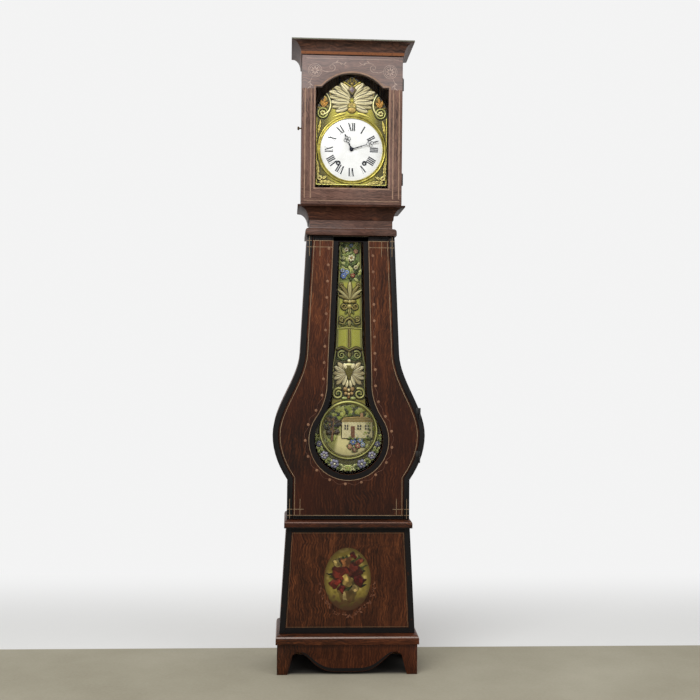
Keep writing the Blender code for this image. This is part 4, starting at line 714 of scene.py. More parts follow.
def thicken(piece, depth):
    """Extrude the whole open sheet along Y, and let its faces point outwards."""
    with editing(piece):
        bpy.ops.mesh.extrude_region_move(TRANSFORM_OT_translate={"value": (0.0, depth, 0.0)})
        bpy.ops.mesh.select_all(action="SELECT")
        bpy.ops.mesh.normals_make_consistent(inside=False)


def flat_outline(name, points, y):
    """A filled flat shape from its outline, points as (x, z)."""
    circle = bpy.ops.mesh.primitive_circle_add
    piece = started(name, circle, vertices=len(points), radius=0.01, fill_type="NGON")
    for vertex, (x, z) in zip(piece.data.vertices, points):
        vertex.co = (x, y, z)
    return piece


def ribbon(name, left, right, depth_at=None, y=0.0, depth=-PAINT_RISE):
    """A strip between two rows of (x, z) points; depth_at gives y where the ground is domed."""
    grid = bpy.ops.mesh.primitive_grid_add
    piece = started(name, grid, x_subdivisions=1, y_subdivisions=len(left) - 1, size=0.01)
    for i, pair in enumerate(zip(left, right)):
        for k, (x, z) in enumerate(pair):
            piece.data.vertices[2 * i + k].co = (x, depth_at(x, z) if depth_at else y, z)
    thicken(piece, depth)
    return piece


def stroke(name, path, widths, y, depth=-PAINT_RISE):
    """A brush stroke along a path of (x, z); widths holds the full width at the start, middle and end."""
    path = np.array(path, float)
    way = np.gradient(path, axis=0)
    way /= np.maximum(np.linalg.norm(way, axis=1, keepdims=True), 1e-9)
    side = np.stack([-way[:, 1], way[:, 0]], axis=1)
    share = np.linspace(0, 1, len(path))
    half = np.interp(share, [0, 0.5, 1], widths)[:, None] / 2
    return ribbon(name, path + side * half, path - side * half, y=y, depth=depth)


def join(name, pieces):
    bpy.ops.object.select_all(action="DESELECT")
    for piece in pieces:
        piece.select_set(True)
    bpy.context.view_layer.objects.active = pieces[0]
    bpy.ops.object.join()
    pieces[0].name = name
    return pieces[0]


def settle(piece, material, body, slot, *stands_for):
    """Give a piece its finish, its body and the nodes it stands for; the slot is not used."""
    dress(piece, material)
    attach(piece, body)
    if stands_for:
        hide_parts(*stands_for)
    return piece


def front_loops(name, front):
    """The outlines of a board's front face as loops of (x, z), the longest first."""
    board = bmesh.new()
    board.from_mesh(nodes[name].data)
    bmesh.ops.remove_doubles(board, verts=board.verts, dist=MERGE)
    ahead = [f for f in board.faces if f.normal.y < -0.99]
    flat = {f for f in ahead if abs(f.calc_center_median().y - front) < 0.0001}
    rim = [e for e in board.edges if sum(f in flat for f in e.link_faces) == 1]
    loops = []
    while rim:
        edge = rim.pop()
        loop = [edge.verts[0], edge.verts[1]]
        while loop[-1] is not loop[0]:
            edge = next(e for e in rim if loop[-1] in e.verts)
            rim.remove(edge)
            loop.append(edge.other_vert(loop[-1]))
        loops.append([(v.co.x, v.co.z) for v in loop[:-1]])
    board.free()
    return sorted(loops, key=len_of_loop, reverse=True)


def len_of_loop(loop):
    points = np.array(loop)
    return float(np.linalg.norm(np.roll(points, -1, axis=0) - points, axis=1).sum())


door_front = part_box("trunk_door")[0].y
door_edge, window_edge = front_loops("trunk_door", door_front)
print("outlines of door and window", [round(len_of_loop(loop), 3) for loop in (door_edge, window_edge)], "m")

# %% [markdown]
# ## Black band, gold lines and dots of the trunk door
# Round the window runs a black band with a thin gold line, and outside it a row of cream dots on a fine
# vine. The window's own outline is moved outwards and filled, inset by the width of the band, and the middle
# is taken out again: the inset tool keeps the width even round every curve, which a scaled copy wouldn't.


# %% Black band, gold lines and dots of the trunk door
def offset_loop(loop, distance):
    """The outline moved outwards by distance, as points."""
    points = np.array(loop)
    ahead = np.roll(points, -1, axis=0) - points
    behind = points - np.roll(points, 1, axis=0)
    ahead /= np.linalg.norm(ahead, axis=1, keepdims=True)
    behind /= np.linalg.norm(behind, axis=1, keepdims=True)
    way = ahead + behind
    way /= np.linalg.norm(way, axis=1, keepdims=True)
    area = np.sum(points[:, 0] * np.roll(points[:, 1], -1) - np.roll(points[:, 0], -1) * points[:, 1])
    out = np.stack([way[:, 1], -way[:, 0]], axis=1) * np.sign(area)
    stretch = 1 / np.maximum(np.sum(way * ahead, axis=1, keepdims=True), 0.5)
    return points + out * distance * stretch


def banding(name, loop, gap, width, y, outward=True):
    """A band of even width along a closed outline, gap away from it."""
    start = offset_loop(loop, gap + width) if outward else offset_loop(loop, -gap)
    piece = flat_outline(name, start, y)
    with editing(piece):
        bpy.ops.mesh.inset(thickness=width, use_even_offset=True)
        bpy.ops.mesh.delete(type="FACE")
    thicken(piece, -PAINT_RISE)
    return piece


def along_loop(loop, step):
    """Points about every step along a closed outline."""
    points = np.array(list(loop) + [loop[0]])
    lengths = np.r_[0, np.cumsum(np.linalg.norm(np.diff(points, axis=0), axis=1))]
    count = max(3, round(lengths[-1] / step))
    at = np.arange(count) / count * lengths[-1]
    return np.stack([np.interp(at, lengths, points[:, k]) for k in (0, 1)], axis=1)


WINDOW_BAND = 0.018
LINE_WIDTH = 0.0015
LINE_GAP = 0.0015
RIM_GAP = 0.005
DOT_OFFSET = 0.034
DOT_STEP = 0.060
DOT_RADIUS = 0.0052
DOT_FLATNESS = 0.16
VINE_STEP = 0.006
VINE_SWAY = 0.0045
VINE_WIDTH = 0.0009
band = banding("window_black_band", window_edge, 0.0, WINDOW_BAND, door_front)
settle(band, black_line, "trunk_door", "grained_wood")
outer_line = [tuple(p) for p in offset_loop(window_edge, WINDOW_BAND + LINE_GAP)]
gold = banding("window_gold_line", outer_line, 0.0, LINE_WIDTH, door_front)
settle(gold, gold_line, "trunk_door", "grained_wood")
rim_line = banding("door_gold_line", door_edge, RIM_GAP, LINE_WIDTH, door_front, outward=False)
settle(rim_line, gold_line, "trunk_door", "grained_wood")

dot_path = [tuple(p) for p in offset_loop(window_edge, DOT_OFFSET)]
dot_top = max(z for x, z in window_edge) + 0.002
dot_places = [place for place in along_loop(dot_path, DOT_STEP) if place[1] < dot_top]
sphere = bpy.ops.mesh.primitive_uv_sphere_add
dot = started("dot_pattern", sphere, segments=12, ring_count=6, radius=DOT_RADIUS)
with editing(dot):
    bpy.ops.transform.resize(value=(1.0, DOT_FLATNESS, 1.0))
    bpy.ops.mesh.bisect(plane_co=(0, 0, 0), plane_no=(0, 1, 0), clear_outer=True, use_fill=True)
dots = []
for x, z in dot_places:
    one = bpy.data.objects.new("door_dot", dot.data.copy())
    bpy.context.scene.collection.objects.link(one)
    one.data.transform(Matrix.Translation((x, door_front, z)))
    dots.append(one)
bpy.data.objects.remove(dot)
settle(join("door_cream_dots", dots), cream_dot, "trunk_door", "grained_wood")

fine = along_loop(dot_path, VINE_STEP)
wave = np.sin(np.arange(len(fine)) * VINE_STEP / DOT_STEP * math.pi * 2) * VINE_SWAY
across = (fine - np.roll(fine, 1, axis=0))[:, ::-1] / VINE_STEP * np.array([-1, 1])
vine_middle = fine + across * wave[:, None]
from_top = np.roll(np.arange(len(fine)), -int(np.argmax(fine[:, 1])))
vine_middle = vine_middle[[k for k in from_top if fine[k, 1] < dot_top]]
vine = stroke("door_vine", vine_middle, (VINE_WIDTH, VINE_WIDTH, VINE_WIDTH), door_front)
settle(vine, vine_line, "trunk_door", "grained_wood")
print(len(dot_places), "dots on the vine round the window")

# %% [markdown]
# ## Lines at the ends of the door, and the base panel
# At the foot and the top of the door a black strip runs to the ledge with a gold line along it, and short
# second lines make little corners. The base has a black frame with a faint line, and the apron a black edge.


# %% Lines at the ends of the door, and the base panel
HALF_LINE = 0.0008
HALF_POST = 0.0007
PAINT_INSET = 0.0004
END_GAP = 0.0006
POST_LENGTH = 0.0750
POST_INSET = 0.026
LINE_STEP = 0.0010
CORNER_LENGTH = 0.040
SIDE_GAP = 0.0030
SIDE_MARGIN = 0.0010
SIDE_POST_INSET = 0.0100
PANEL_EDGE = 0.0014
PANEL_FOOT_STRIP = 0.021
PANEL_TOP_STRIP = 0.017
FRAME_FOOT = 0.023
FRAME_TOP = 0.019
FRAME_SIDE = 0.0035
LOBE_HALF = 0.170
LOBE_TOP = 0.090
APRON_GAP = 0.0016
APRON_BAND = 0.003
APRON_SWELL = 0.011


def bar(name, x0, x1, z0, z1, y):
    """A straight painted strip, cut into a few lengths."""
    xs = np.linspace(min(x0, x1), max(x0, x1), 9)
    return ribbon(name, [(x, max(z0, z1)) for x in xs], [(x, min(z0, z1)) for x in xs], y=y)


def level_line(name, x0, x1, level):
    return bar(name, x0, x1, level - HALF_LINE, level + HALF_LINE, door_front)


def upright_line(name, x, z0, z1):
    return bar(name, x - HALF_POST, x + HALF_POST, z0, z1, door_front)


def half_width(loop, z):
    """Half the width of a symmetric outline at a height."""
    points = np.array(loop)
    points = points[points[:, 0] > 0]
    points = points[np.argsort(points[:, 1])]
    return float(np.interp(z, points[:, 1], points[:, 0]))


door_low = min(z for x, z in door_edge)
door_high = max(z for x, z in door_edge)
side_edges = front_loops("trunk_side_right", door_front)[0]
side_outer = [(x, z) for x, z in side_edges if x > half_width(door_edge, z) + 0.010]
window_top = max(z for x, z in window_edge)
window_half = half_width(window_edge, window_top - 0.02) + WINDOW_BAND + 0.004
strips = []
lines = []
side_lines = []
for end, way, strip_end, second, full_second in (
    (door_low, 1, 0.0125, 0.0360, False),
    (door_high, -1, 0.0165, 0.0410, True),
):
    start = end + way * END_GAP
    level = end + way * (strip_end + LINE_STEP)
    half = half_width(door_edge, end + way * 0.006) - PAINT_INSET
    strips.append(bar("end_strip", -half, half, start, end + way * strip_end, door_front))
    lines.append(level_line("end_line", -half, half, level))
    next_level = end + way * second
    next_half = half_width(door_edge, next_level) - PAINT_INSET
    inner = window_half if full_second else next_half - CORNER_LENGTH
    outer = half_width(side_outer, level)
    post_end = end + way * POST_LENGTH
    for side in (-1, 1):
        lines.append(level_line("corner_line", side * next_half, side * inner, next_level))
        lines.append(upright_line("corner_post", side * (half - POST_INSET), start, post_end))
        for line_level in (level, next_level):
            line_ends = side * (next_half + SIDE_GAP), side * (outer - SIDE_MARGIN)
            side_lines.append(level_line("side_line", *line_ends, line_level))
        side_lines.append(upright_line("side_post", side * (outer - SIDE_POST_INSET), start, post_end))
settle(join("door_end_strips", strips), black_line, "trunk_door", "grained_wood")
settle(join("door_end_lines", lines), gold_line, "trunk_door", "grained_wood")
settle(join("side_corner_lines", side_lines), gold_line, "case", "grained_wood")

panel_low, panel_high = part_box("base_front_panel")
panel_front = panel_low.y
(panel_edge,) = front_loops("base_front_panel", panel_front)
panel_black = [banding("panel_black", panel_edge, 0.0, PANEL_EDGE, panel_front, outward=False)]
for z0, z1 in (
    (panel_low.z + PANEL_EDGE, panel_low.z + PANEL_FOOT_STRIP),
    (panel_high.z - PANEL_TOP_STRIP, panel_high.z - PANEL_EDGE),
):
    half = half_width(panel_edge, (z0 + z1) / 2) - PANEL_EDGE
    panel_black.append(bar("panel_strip", -half, half, z0, z1, panel_front))
settle(join("base_black_frame", panel_black), black_line, "case", "grained_wood")
frame_low, frame_high = panel_low.z + FRAME_FOOT, panel_high.z - FRAME_TOP
gold_frame = [
    (half_width(panel_edge, z) * side - side * FRAME_SIDE, z)
    for side, z in ((-1, frame_low), (1, frame_low), (1, frame_high), (-1, frame_high))
]
gold = banding("base_gold_line", gold_frame, 0.0, LINE_WIDTH, panel_front, outward=False)
settle(gold, faint_line, "case", "grained_wood")

apron_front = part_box("foot_apron")[0].y
apron_loop = front_loops("foot_apron", apron_front)[0]
lobe = np.array(sorted((x, z) for x, z in apron_loop if abs(x) < LOBE_HALF and z < LOBE_TOP))
lobe_x = np.linspace(lobe[0, 0], lobe[-1, 0], 61)
lobe = np.stack([lobe_x, np.interp(lobe_x, lobe[:, 0], lobe[:, 1])], axis=1)
rise_way = np.gradient(lobe, axis=0)
inward = np.stack([-rise_way[:, 1], rise_way[:, 0]], axis=1)
inward /= np.linalg.norm(inward, axis=1, keepdims=True)
band_width = APRON_BAND + APRON_SWELL * np.sin(np.linspace(0, math.pi, len(lobe)))[:, None] ** 0.5
apron_edge = ribbon("apron_edge", lobe + inward * band_width, lobe + inward * APRON_GAP, y=apron_front)
settle(apron_edge, black_line, "case", "grained_wood")
print("door ends, base panel and apron lined")

# %% [markdown]
# ## Lines and scrolls of the head door
# The head door has tan stripes round the arched opening, twice down each stile and along the foot. A line
# across the top rail and a loose scroll with a rosette over each shoulder of the arch are a greyish pink.


# %% Lines and scrolls of the head door
RAIL_LINE_HALF = 0.170
RAIL_LINE_LOW = 0.0120
RAIL_LINE_HIGH = 0.0106
STRIPE_WIDTH = 0.0040
ARCH_STRIPE_GAP = 0.0018
STILE_STEPS = (0.0170, 0.0390)
STILE_FOOT = 0.040
SHOULDER_RISE = 0.365
FOOT_STRIPE_HALF = 0.176
FOOT_STRIPE_LOW = 0.012
FOOT_STRIPE_HIGH = 0.0145
SCROLL_X = 0.139
SCROLL_DROP = 0.056
head_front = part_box("head_door")[0].y
_, arch_edge = front_loops("head_door", head_front)
head_low, head_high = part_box("head_door")


def spiral(centre, start_radius, end_radius, start, turns, count=26):
    """Points of a scroll from start_radius to end_radius; start in degrees, turns in whole turns."""
    share = np.linspace(0, 1, count)
    radius = start_radius + (end_radius - start_radius) * share
    angle = math.radians(start) + share * turns * 2 * math.pi
    return np.stack([centre[0] + radius * np.cos(angle), centre[1] + radius * np.sin(angle)], axis=1)


def bent_path(points, count=24):
    """A smooth path through a few points."""
    points = np.array(points, float)
    ends = np.vstack([2 * points[0] - points[1], points, 2 * points[-1] - points[-2]])
    path = []
    for i in range(1, len(ends) - 2):
        a, b, c, d = ends[i - 1 : i + 3]
        for t in np.linspace(0, 1, max(3, count // (len(points) - 1)), endpoint=False):
            cubic = (3 * b - a - 3 * c + d) * t**3
            path.append(0.5 * (2 * b + (c - a) * t + (2 * a - 5 * b + 4 * c - d) * t**2 + cubic))
    path.append(points[-1])
    return np.array(path)


rail_levels = (head_high.z - RAIL_LINE_LOW, head_high.z - RAIL_LINE_HIGH)
head_lines = [bar("rail_line", -RAIL_LINE_HALF, RAIL_LINE_HALF, *rail_levels, head_front)]
tan_stripes = [banding("arch_line", arch_edge, ARCH_STRIPE_GAP, STRIPE_WIDTH, head_front)]
arch_low = min(z for x, z in arch_edge)
arch_half = max(x for x, z in arch_edge)
stripe_levels = (arch_low - STILE_FOOT, arch_low + SHOULDER_RISE)
for side in (-1, 1):
    for step in STILE_STEPS:
        x = side * (arch_half + step)
        sides = (x - STRIPE_WIDTH / 2, x + STRIPE_WIDTH / 2)
        tan_stripes.append(bar("stile_stripe", *sides, *stripe_levels, head_front))
foot_levels = (head_low.z + FOOT_STRIPE_LOW, head_low.z + FOOT_STRIPE_HIGH)
tan_stripes.append(bar("low_stripe", -FOOT_STRIPE_HALF, FOOT_STRIPE_HALF, *foot_levels, head_front))
settle(join("head_door_stripes", tan_stripes), tan_line, "head_door", "grained_wood")


def scroll_corner(side):
    """The ornament of one upper corner: a ringed flower, a scroll towards the middle and a hanging leaf."""
    mirror = np.array([side, 1.0])
    corner = np.array([SCROLL_X, head_high.z - SCROLL_DROP])
    thin = (0.0013, 0.0013, 0.0013)
    petal = (0.001, 0.0056, 0.001)
    leaflet = (0.0008, 0.0042, 0.0006)

    def at(dx, dz):
        return corner + np.array([dx, dz])

    rings = ((0.025, 36), (0.0195, 32))
    paths = [(spiral(corner, radius, radius, 0, 1.0, count), thin) for radius, count in rings]
    for k in range(8):
        turned_by = math.radians(45 * k)
        way = np.array([math.cos(turned_by), math.sin(turned_by)])
        paths.append((bent_path([corner + 0.004 * way, corner + 0.0165 * way], 6), petal))
    curl = spiral(at(-0.062, 0.012), 0.015, 0.003, -70, -1.3)
    paths.append((curl, (0.0022, 0.0018, 0.001)))
    paths.append((bent_path([curl[0], at(-0.040, -0.004), at(-0.022, 0.004)], 14), (0.002, 0.0024, 0.001)))
    tail = bent_path([at(-0.062, 0.027), at(-0.090, 0.030), at(-0.122, 0.016)], 16)
    paths.append((tail, (0.002, 0.0026, 0.0008)))
    for k, way in ((4, 1), (8, -1), (12, 1)):
        paths.append((bent_path([tail[k], tail[k] + np.array([-0.010, 0.009 * way])], 5), leaflet))
    drop = bent_path([at(0.010, -0.025), at(0.018, -0.048), at(0.012, -0.078)], 16)
    paths.append((drop, (0.001, 0.0026, 0.0006)))
    for k, way in ((5, 1), (8, -1), (11, 1)):
        paths.append((bent_path([drop[k], drop[k] + np.array([way * 0.011, -0.010])], 5), leaflet))
    return [stroke("corner_scroll", path * mirror, widths, head_front) for path, widths in paths]


head_lines += scroll_corner(-1) + scroll_corner(1)
settle(join("head_door_scrolls", head_lines), pale_line, "head_door", "grained_wood")
print("head door lined and scrolled")

# %% [markdown]
# ## Turned pieces
# The bezel, the weights, the bell and the pull are round. A closed profile is drawn as a ring of points and
# spun all the way about its axis, as on a lathe. Doubles at the seam are merged and the normals set right.


# %% Turned pieces
def turned(name, profile, axis_point, axis, steps=64):
    """Spin a closed profile of (radius, along) about an axis along X, Y or Z through axis_point."""
    piece = started(name, bpy.ops.mesh.primitive_circle_add, vertices=len(profile), radius=0.01)
    along = {"X": Vector((1, 0, 0)), "Y": Vector((0, 1, 0)), "Z": Vector((0, 0, 1))}[axis]
    out = Vector((0, 0, 1)) if axis != "Z" else Vector((1, 0, 0))
    for vertex, (radius, distance) in zip(piece.data.vertices, profile):
        vertex.co = Vector(axis_point) + out * radius + along * distance
    with editing(piece):
        bpy.ops.mesh.spin(steps=steps, angle=2 * math.pi, center=axis_point, axis=along)
        bpy.ops.mesh.select_all(action="SELECT")
        bpy.ops.mesh.remove_doubles(threshold=0.000005)
        bpy.ops.mesh.normals_make_consistent(inside=False)
    bpy.ops.object.shade_smooth_by_angle(angle=math.radians(40))
    return piece


def millimetres(points):
    return [(a * 0.001, b * 0.001) for a, b in points]


def upright_axis(low, high):
    """A point on the upright line through the middle of a box."""
    return ((low.x + high.x) / 2, (low.y + high.y) / 2, 0.0)


dial_low, dial_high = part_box("dial")
DIAL_Z = (dial_low.z + dial_high.z) / 2
bezel_profile = millimetres(
    [
        (115.8, -74.4), (115.8, -76.8), (116.6, -78.0), (118.0, -78.3), (119.4, -77.6), (120.0, -76.6),
        (121.0, -76.4), (121.8, -77.4), (123.4, -79.0), (125.6, -79.6), (127.8, -79.2), (129.2, -78.0),
        (129.8, -76.6), (130.0, -74.4),
    ]
)
bezel = turned("dial_bezel", bezel_profile, (0.0, 0.0, DIAL_Z), "Y", 96)
settle(bezel, brass, "case", "brass", "fronton")

WEIGHT_BODY = 0.160
for weight in ("going_weight", "strike_weight"):
    low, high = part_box(weight)
    middle = upright_axis(low, high)
    radius = (high.x - low.x) / 2
    top = low.z + WEIGHT_BODY
    profile = [
        (0.0001, low.z), (radius - 0.005, low.z), (radius - 0.001, low.z + 0.002), (radius, low.z + 0.006),
        (radius, low.z + 0.030), (radius - 0.0012, low.z + 0.032), (radius - 0.0012, low.z + 0.035),
        (radius, low.z + 0.037), (radius, top - 0.008), (radius - 0.002, top - 0.002), (radius - 0.007, top),
        (0.012, top + 0.006), (0.007, top + 0.012), (0.0045, top + 0.018), (0.0045, high.z - 0.002),
        (0.003, high.z), (0.0001, high.z),
    ]
    piece = turned(f"{weight}_casting", profile, middle, "Z", 48)
    settle(piece, cast_iron, weight, "cast_iron", weight)

low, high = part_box("bell")
bell_middle = upright_axis(low, high)
bell_radius = (high.x - low.x) / 2
tall = high.z - low.z
outer = [
    (1.0, 0.0), (0.985, 0.06), (0.94, 0.14), (0.90, 0.30), (0.86, 0.48), (0.78, 0.66), (0.64, 0.82),
    (0.42, 0.94), (0.16, 1.0),
]
inner = [
    (0.12, 0.93), (0.40, 0.87), (0.60, 0.75), (0.73, 0.60), (0.81, 0.44), (0.85, 0.28), (0.90, 0.12),
    (0.93, 0.02),
]
bell_profile = [(r * bell_radius, low.z + h * tall) for r, h in outer + inner]
settle(turned("strike_bell", bell_profile, bell_middle, "Z", 64), bell_metal, "case", "bell_metal", "bell")

low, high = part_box("head_door_pull")
pull_axis = (0.0, (low.y + high.y) / 2, (low.z + high.z) / 2)
pull_radius = (high.z - low.z) / 2
knob = [
    (0.0001, 0.0), (0.55, 0.0), (0.55, 0.10), (0.36, 0.18), (0.30, 0.42), (0.48, 0.52), (0.85, 0.62),
    (1.0, 0.78), (0.88, 0.93), (0.5, 1.0), (0.0001, 1.0),
]
profile = [(r * pull_radius, high.x + (low.x - high.x) * h) for r, h in knob]
pull = turned("head_pull_knob", profile, pull_axis, "X", 40)
settle(pull, old_brass, "head_door", "brass", "head_door_pull")
print("bezel, two weights, bell and pull turned")

# %% [markdown]
# ## Weight lines
# Each weight hangs on a hemp line that shortens as the barrel winds it up. The line is a tube with its twist
# in the finish; it rides on its weight.

# %% Weight lines
for name, body in (("going_line", "going_weight"), ("strike_line", "strike_weight")):
    low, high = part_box(name)
    middle = upright_axis(low, high)
    radius = (high.x - low.x) / 2
    profile = [(0.0001, low.z), (radius * 0.7, low.z), (radius, low.z + 0.002)]
    profile += [(radius, z) for z in np.linspace(low.z + 0.05, high.z - 0.05, 30)]
    profile += [(radius, high.z - 0.002), (radius * 0.7, high.z), (0.0001, high.z)]
    line = turned(f"{name}_hemp", profile, middle, "Z", 12)
    settle(line, twisted_line(f"{name}_hemp", middle), body, "line", name)
    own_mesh(line)
    print(name, "is", round(high.z - low.z, 3), "m long at rest")

# %% [markdown]
# ## Numerals on the dial
# The numerals are fired into the domed enamel, with thick and thin strokes and fine serifs, all standing
# radially. Each stroke is a narrow ribbon whose depth follows the dome of the dial.

# %% Numerals on the dial
DIAL_RADIUS = (dial_high.x - dial_low.x) / 2
NUMERAL_INNER = 0.0690
NUMERAL_OUTER = 0.0988
THICK = 0.0044
THIN = 0.0007
HAIRLINE = THIN * 1.3
GLYPH_WIDTH = {"I": 0.0066, "V": 0.0150, "X": 0.0150}
INK_RISE = 0.00012
DOME_RISE = 0.005
dome_front = dial_low.y


def on_dome(x, z):
    """Depth of the enamel's surface at a place on the dial."""
    share = (x * x + (z - DIAL_Z) ** 2) / DIAL_RADIUS**2
    return dome_front + DOME_RISE * share - 0.00005


def dial_point(angle, across, radius):
    """A place on the dial from an angle clockwise from the top, a step across and a radius."""
    turned_by = math.radians(angle)
    x = radius * math.sin(turned_by) + across * math.cos(turned_by)
    z = DIAL_Z + radius * math.cos(turned_by) - across * math.sin(turned_by)
    return (x, z)


def dial_stroke(angle, start, end, width):
    """A straight stroke between two (across, radius) places, of even width across."""
    rows = np.linspace(0, 1, 6)
    left, right = [], []
    for share in rows:
        across = start[0] + (end[0] - start[0]) * share
        radius = start[1] + (end[1] - start[1]) * share
        left.append(dial_point(angle, across - width / 2, radius))
        right.append(dial_point(angle, across + width / 2, radius))
    return ribbon("numeral_stroke", left, right, depth_at=on_dome, depth=-INK_RISE)


def serif(angle, across, half, radius):
    left = [dial_point(angle, across + a, radius - THIN / 2) for a in np.linspace(-half, half, 4)]
    right = [dial_point(angle, across + a, radius + THIN / 2) for a in np.linspace(-half, half, 4)]
    return ribbon("numeral_serif", left, right, depth_at=on_dome, depth=-INK_RISE)


numerals = ["XII", "I", "II", "III", "IIII", "V", "VI", "VII", "VIII", "IX", "X", "XI"]
strokes = []
for hour, word in enumerate(numerals):
    angle = 30.0 * hour
    across = -sum(GLYPH_WIDTH[letter] for letter in word) / 2
    for letter in word:
        wide = GLYPH_WIDTH[letter]
        middle = across + wide / 2
        reach = wide / 2 - THICK / 2 - 0.0006
        low, high = NUMERAL_INNER, NUMERAL_OUTER
        if letter == "I":
            bars = [((middle, low), (middle, high), THICK)]
            feet = [(middle, 0.0029, low), (middle, 0.0029, high)]
        elif letter == "V":
            thin_bar = ((middle + reach, high), (middle + 0.001, low), HAIRLINE)
            bars = [((middle - reach, high), (middle, low), THICK), thin_bar]
            feet = [(middle - reach, 0.0032, high), (middle + reach, 0.0026, high)]
        else:
            thin_bar = ((middle + reach, high), (middle - reach, low), HAIRLINE)
            bars = [((middle - reach, high), (middle + reach, low), THICK), thin_bar]
            feet = [(middle + sign * reach, 0.0028, radius) for radius in (high, low) for sign in (-1, 1)]
        strokes += [dial_stroke(angle, *bar_ends) for bar_ends in bars]
        strokes += [serif(angle, *foot) for foot in feet]
        across += wide
settle(join("dial_numerals", strokes), numeral_ink, "case", "enamel")
print(len(strokes), "numeral strokes joined")

# %% [markdown]
# ## Winding holes
# Each winding hole has a dark ring on the enamel round it, painted shade for the dark inside of the hole,
# with the end of the square inside it, near white: partly polished steel, partly a painted highlight.

# %% Winding holes
SQUARE_HALF = 0.0033
SQUARE_LENGTH = 0.012
# The near-white square ends are partly polished steel and partly a painted highlight; the dark rings are
# painted shade for the inside of each hole.
square_steel_and_highlight = metal("square_steel_and_highlight", paint(236, 236, 234), paint(206, 206, 204), 0.3, 40.0, 0.3)
hole_shade_ring_profile = [
    (0.0050, 0.0012), (0.0050, -0.0008), (0.0056, -0.0013), (0.0082, -0.0013), (0.0089, -0.0006),
    (0.0089, 0.0012),
]
for barrel in ("going_barrel", "strike_barrel"):
    low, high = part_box(barrel)
    x, z = (low.x + high.x) / 2, (low.z + high.z) / 2
    profile = [(radius, on_dome(x, z) + step) for radius, step in hole_shade_ring_profile]
    collar = turned(f"{barrel}_collar", profile, (x, 0.0, z), "Y", 40)
    settle(collar, numeral_ink, "case", "blued_steel")
    square = started(f"{barrel}_square", bpy.ops.mesh.primitive_cube_add, size=1.0)
    with editing(square):
        bpy.ops.transform.resize(value=(2 * SQUARE_HALF, SQUARE_LENGTH, 2 * SQUARE_HALF))
        bpy.ops.transform.translate(value=(x, low.y + SQUARE_LENGTH / 2 - 0.0002, z))
        bpy.ops.mesh.bevel(offset=0.0005, segments=2)
    settle(square, square_steel_and_highlight, barrel, "iron")
print("two collars set in the dial, two squares polished")

# %% [markdown]
# ## Hands
# The hands are sawn from sheet steel and blued: a boss, a slim stem, a pierced rose of four loops about two
# thirds along, and a leaf-shaped tip. They are built pointing at twelve, then the mesh is turned to the time
# of the picture about the middle of the dial, so that the object itself stays unturned.


# %% Hands
def make_hand(node, length, rose_share, boss, stem, loop_radius, angle):
    """A hand for its node: where along the length the rose sits, and the sizes of boss, stem and loops."""
    low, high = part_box(node)
    y_back, y_front = high.y, low.y
    thick = y_back - y_front
    rose_z = DIAL_Z + length * rose_share
    bits = []
    teardrop = []
    for k in range(40):
        t = 2 * math.pi * k / 40
        pull = 1.0 + 0.9 * max(0.0, math.cos(t)) ** 6
        teardrop.append((boss * math.sin(t), DIAL_Z + boss * pull * math.cos(t)))
    bits.append(flat_outline("boss", teardrop, y_back))
    thicken(bits[-1], -thick)
    rows = np.linspace(boss * 0.6, length * rose_share - loop_radius * 1.6, 8)
    left = [(-stem * (1 - 0.35 * k / 7) / 2, DIAL_Z + r) for k, r in enumerate(rows)]
    right = [(-x, z) for x, z in left]
    bits.append(ribbon("stem", left, right, y=y_back, depth=-thick))
    collar_z = DIAL_Z + length * rose_share * 0.52
    turns = np.linspace(0, 2 * math.pi, 20, endpoint=False)
    collar = [(3.4 * stem / 4 * math.sin(t), collar_z + stem * 0.55 * math.cos(t)) for t in turns]
    bits.append(flat_outline("collar", collar, y_back))
    thicken(bits[-1], -thick)
    for quarter in range(4):
        t = math.radians(90 * quarter)
        out = loop_radius * 0.86
        loop = started(
            "rose_loop",
            bpy.ops.mesh.primitive_torus_add,
            major_radius=loop_radius * 0.70,
            minor_radius=stem * 0.20,
            major_segments=24,
            minor_segments=8,
            location=(out * math.sin(t), (y_back + y_front) / 2, rose_z + out * math.cos(t)),
            rotation=(math.pi / 2, 0, 0),
        )
        bpy.ops.object.transform_apply(location=True, rotation=True, scale=True)
        bits.append(loop)
    rows = np.linspace(length * rose_share + loop_radius * 1.4, length, 9)
    wide = [0.55, 0.9, 1.15, 1.25, 1.15, 0.95, 0.7, 0.42, 0.08]
    left = [(-stem * w / 2, DIAL_Z + r) for w, r in zip(wide, rows)]
    right = [(-x, z) for x, z in left]
    bits.append(ribbon("tip", left, right, y=y_back, depth=-thick))
    hand = join(f"{node}_blued", bits)
    only(hand)
    swing = Matrix.Rotation(math.radians(angle), 4, "Y")
    hand.data.transform(Matrix.Translation((0, 0, DIAL_Z)) @ swing @ Matrix.Translation((0, 0, -DIAL_Z)))
    bpy.ops.object.shade_smooth_by_angle(angle=math.radians(35))
    return settle(hand, blued_steel, node, "blued_steel", node)


hour_hand = make_hand("hour_hand", 0.063, 0.64, 0.0075, 0.0040, 0.0082, 336)
minute_hand = make_hand("minute_hand", 0.108, 0.67, 0.0060, 0.0034, 0.0086, 72)
print("hands made:", hour_hand.name, minute_hand.name)

# %% [markdown]
# ## A canvas for embossed brass
# The arched plate and the pendulum are thin brass, pressed from behind over dies and partly painted. Such
# ornament is far too soft for extruded shapes, so it is laid on a fine grid instead: each leaf, scroll or
# bead gives a height in millimetres at every point, the highest one wins and brings its colour, and the
# hollows collect dirt. The same words of ornament serve the plate, the pendulum and the picture.
# Undersides are also painted darker and upward slopes and crests lighter: painted shade and painted
# highlight.


# %% A canvas for embossed brass
SHEET_MERGE = 0.00002


def linear(colour):
    return np.array(paint(*colour)[:3])


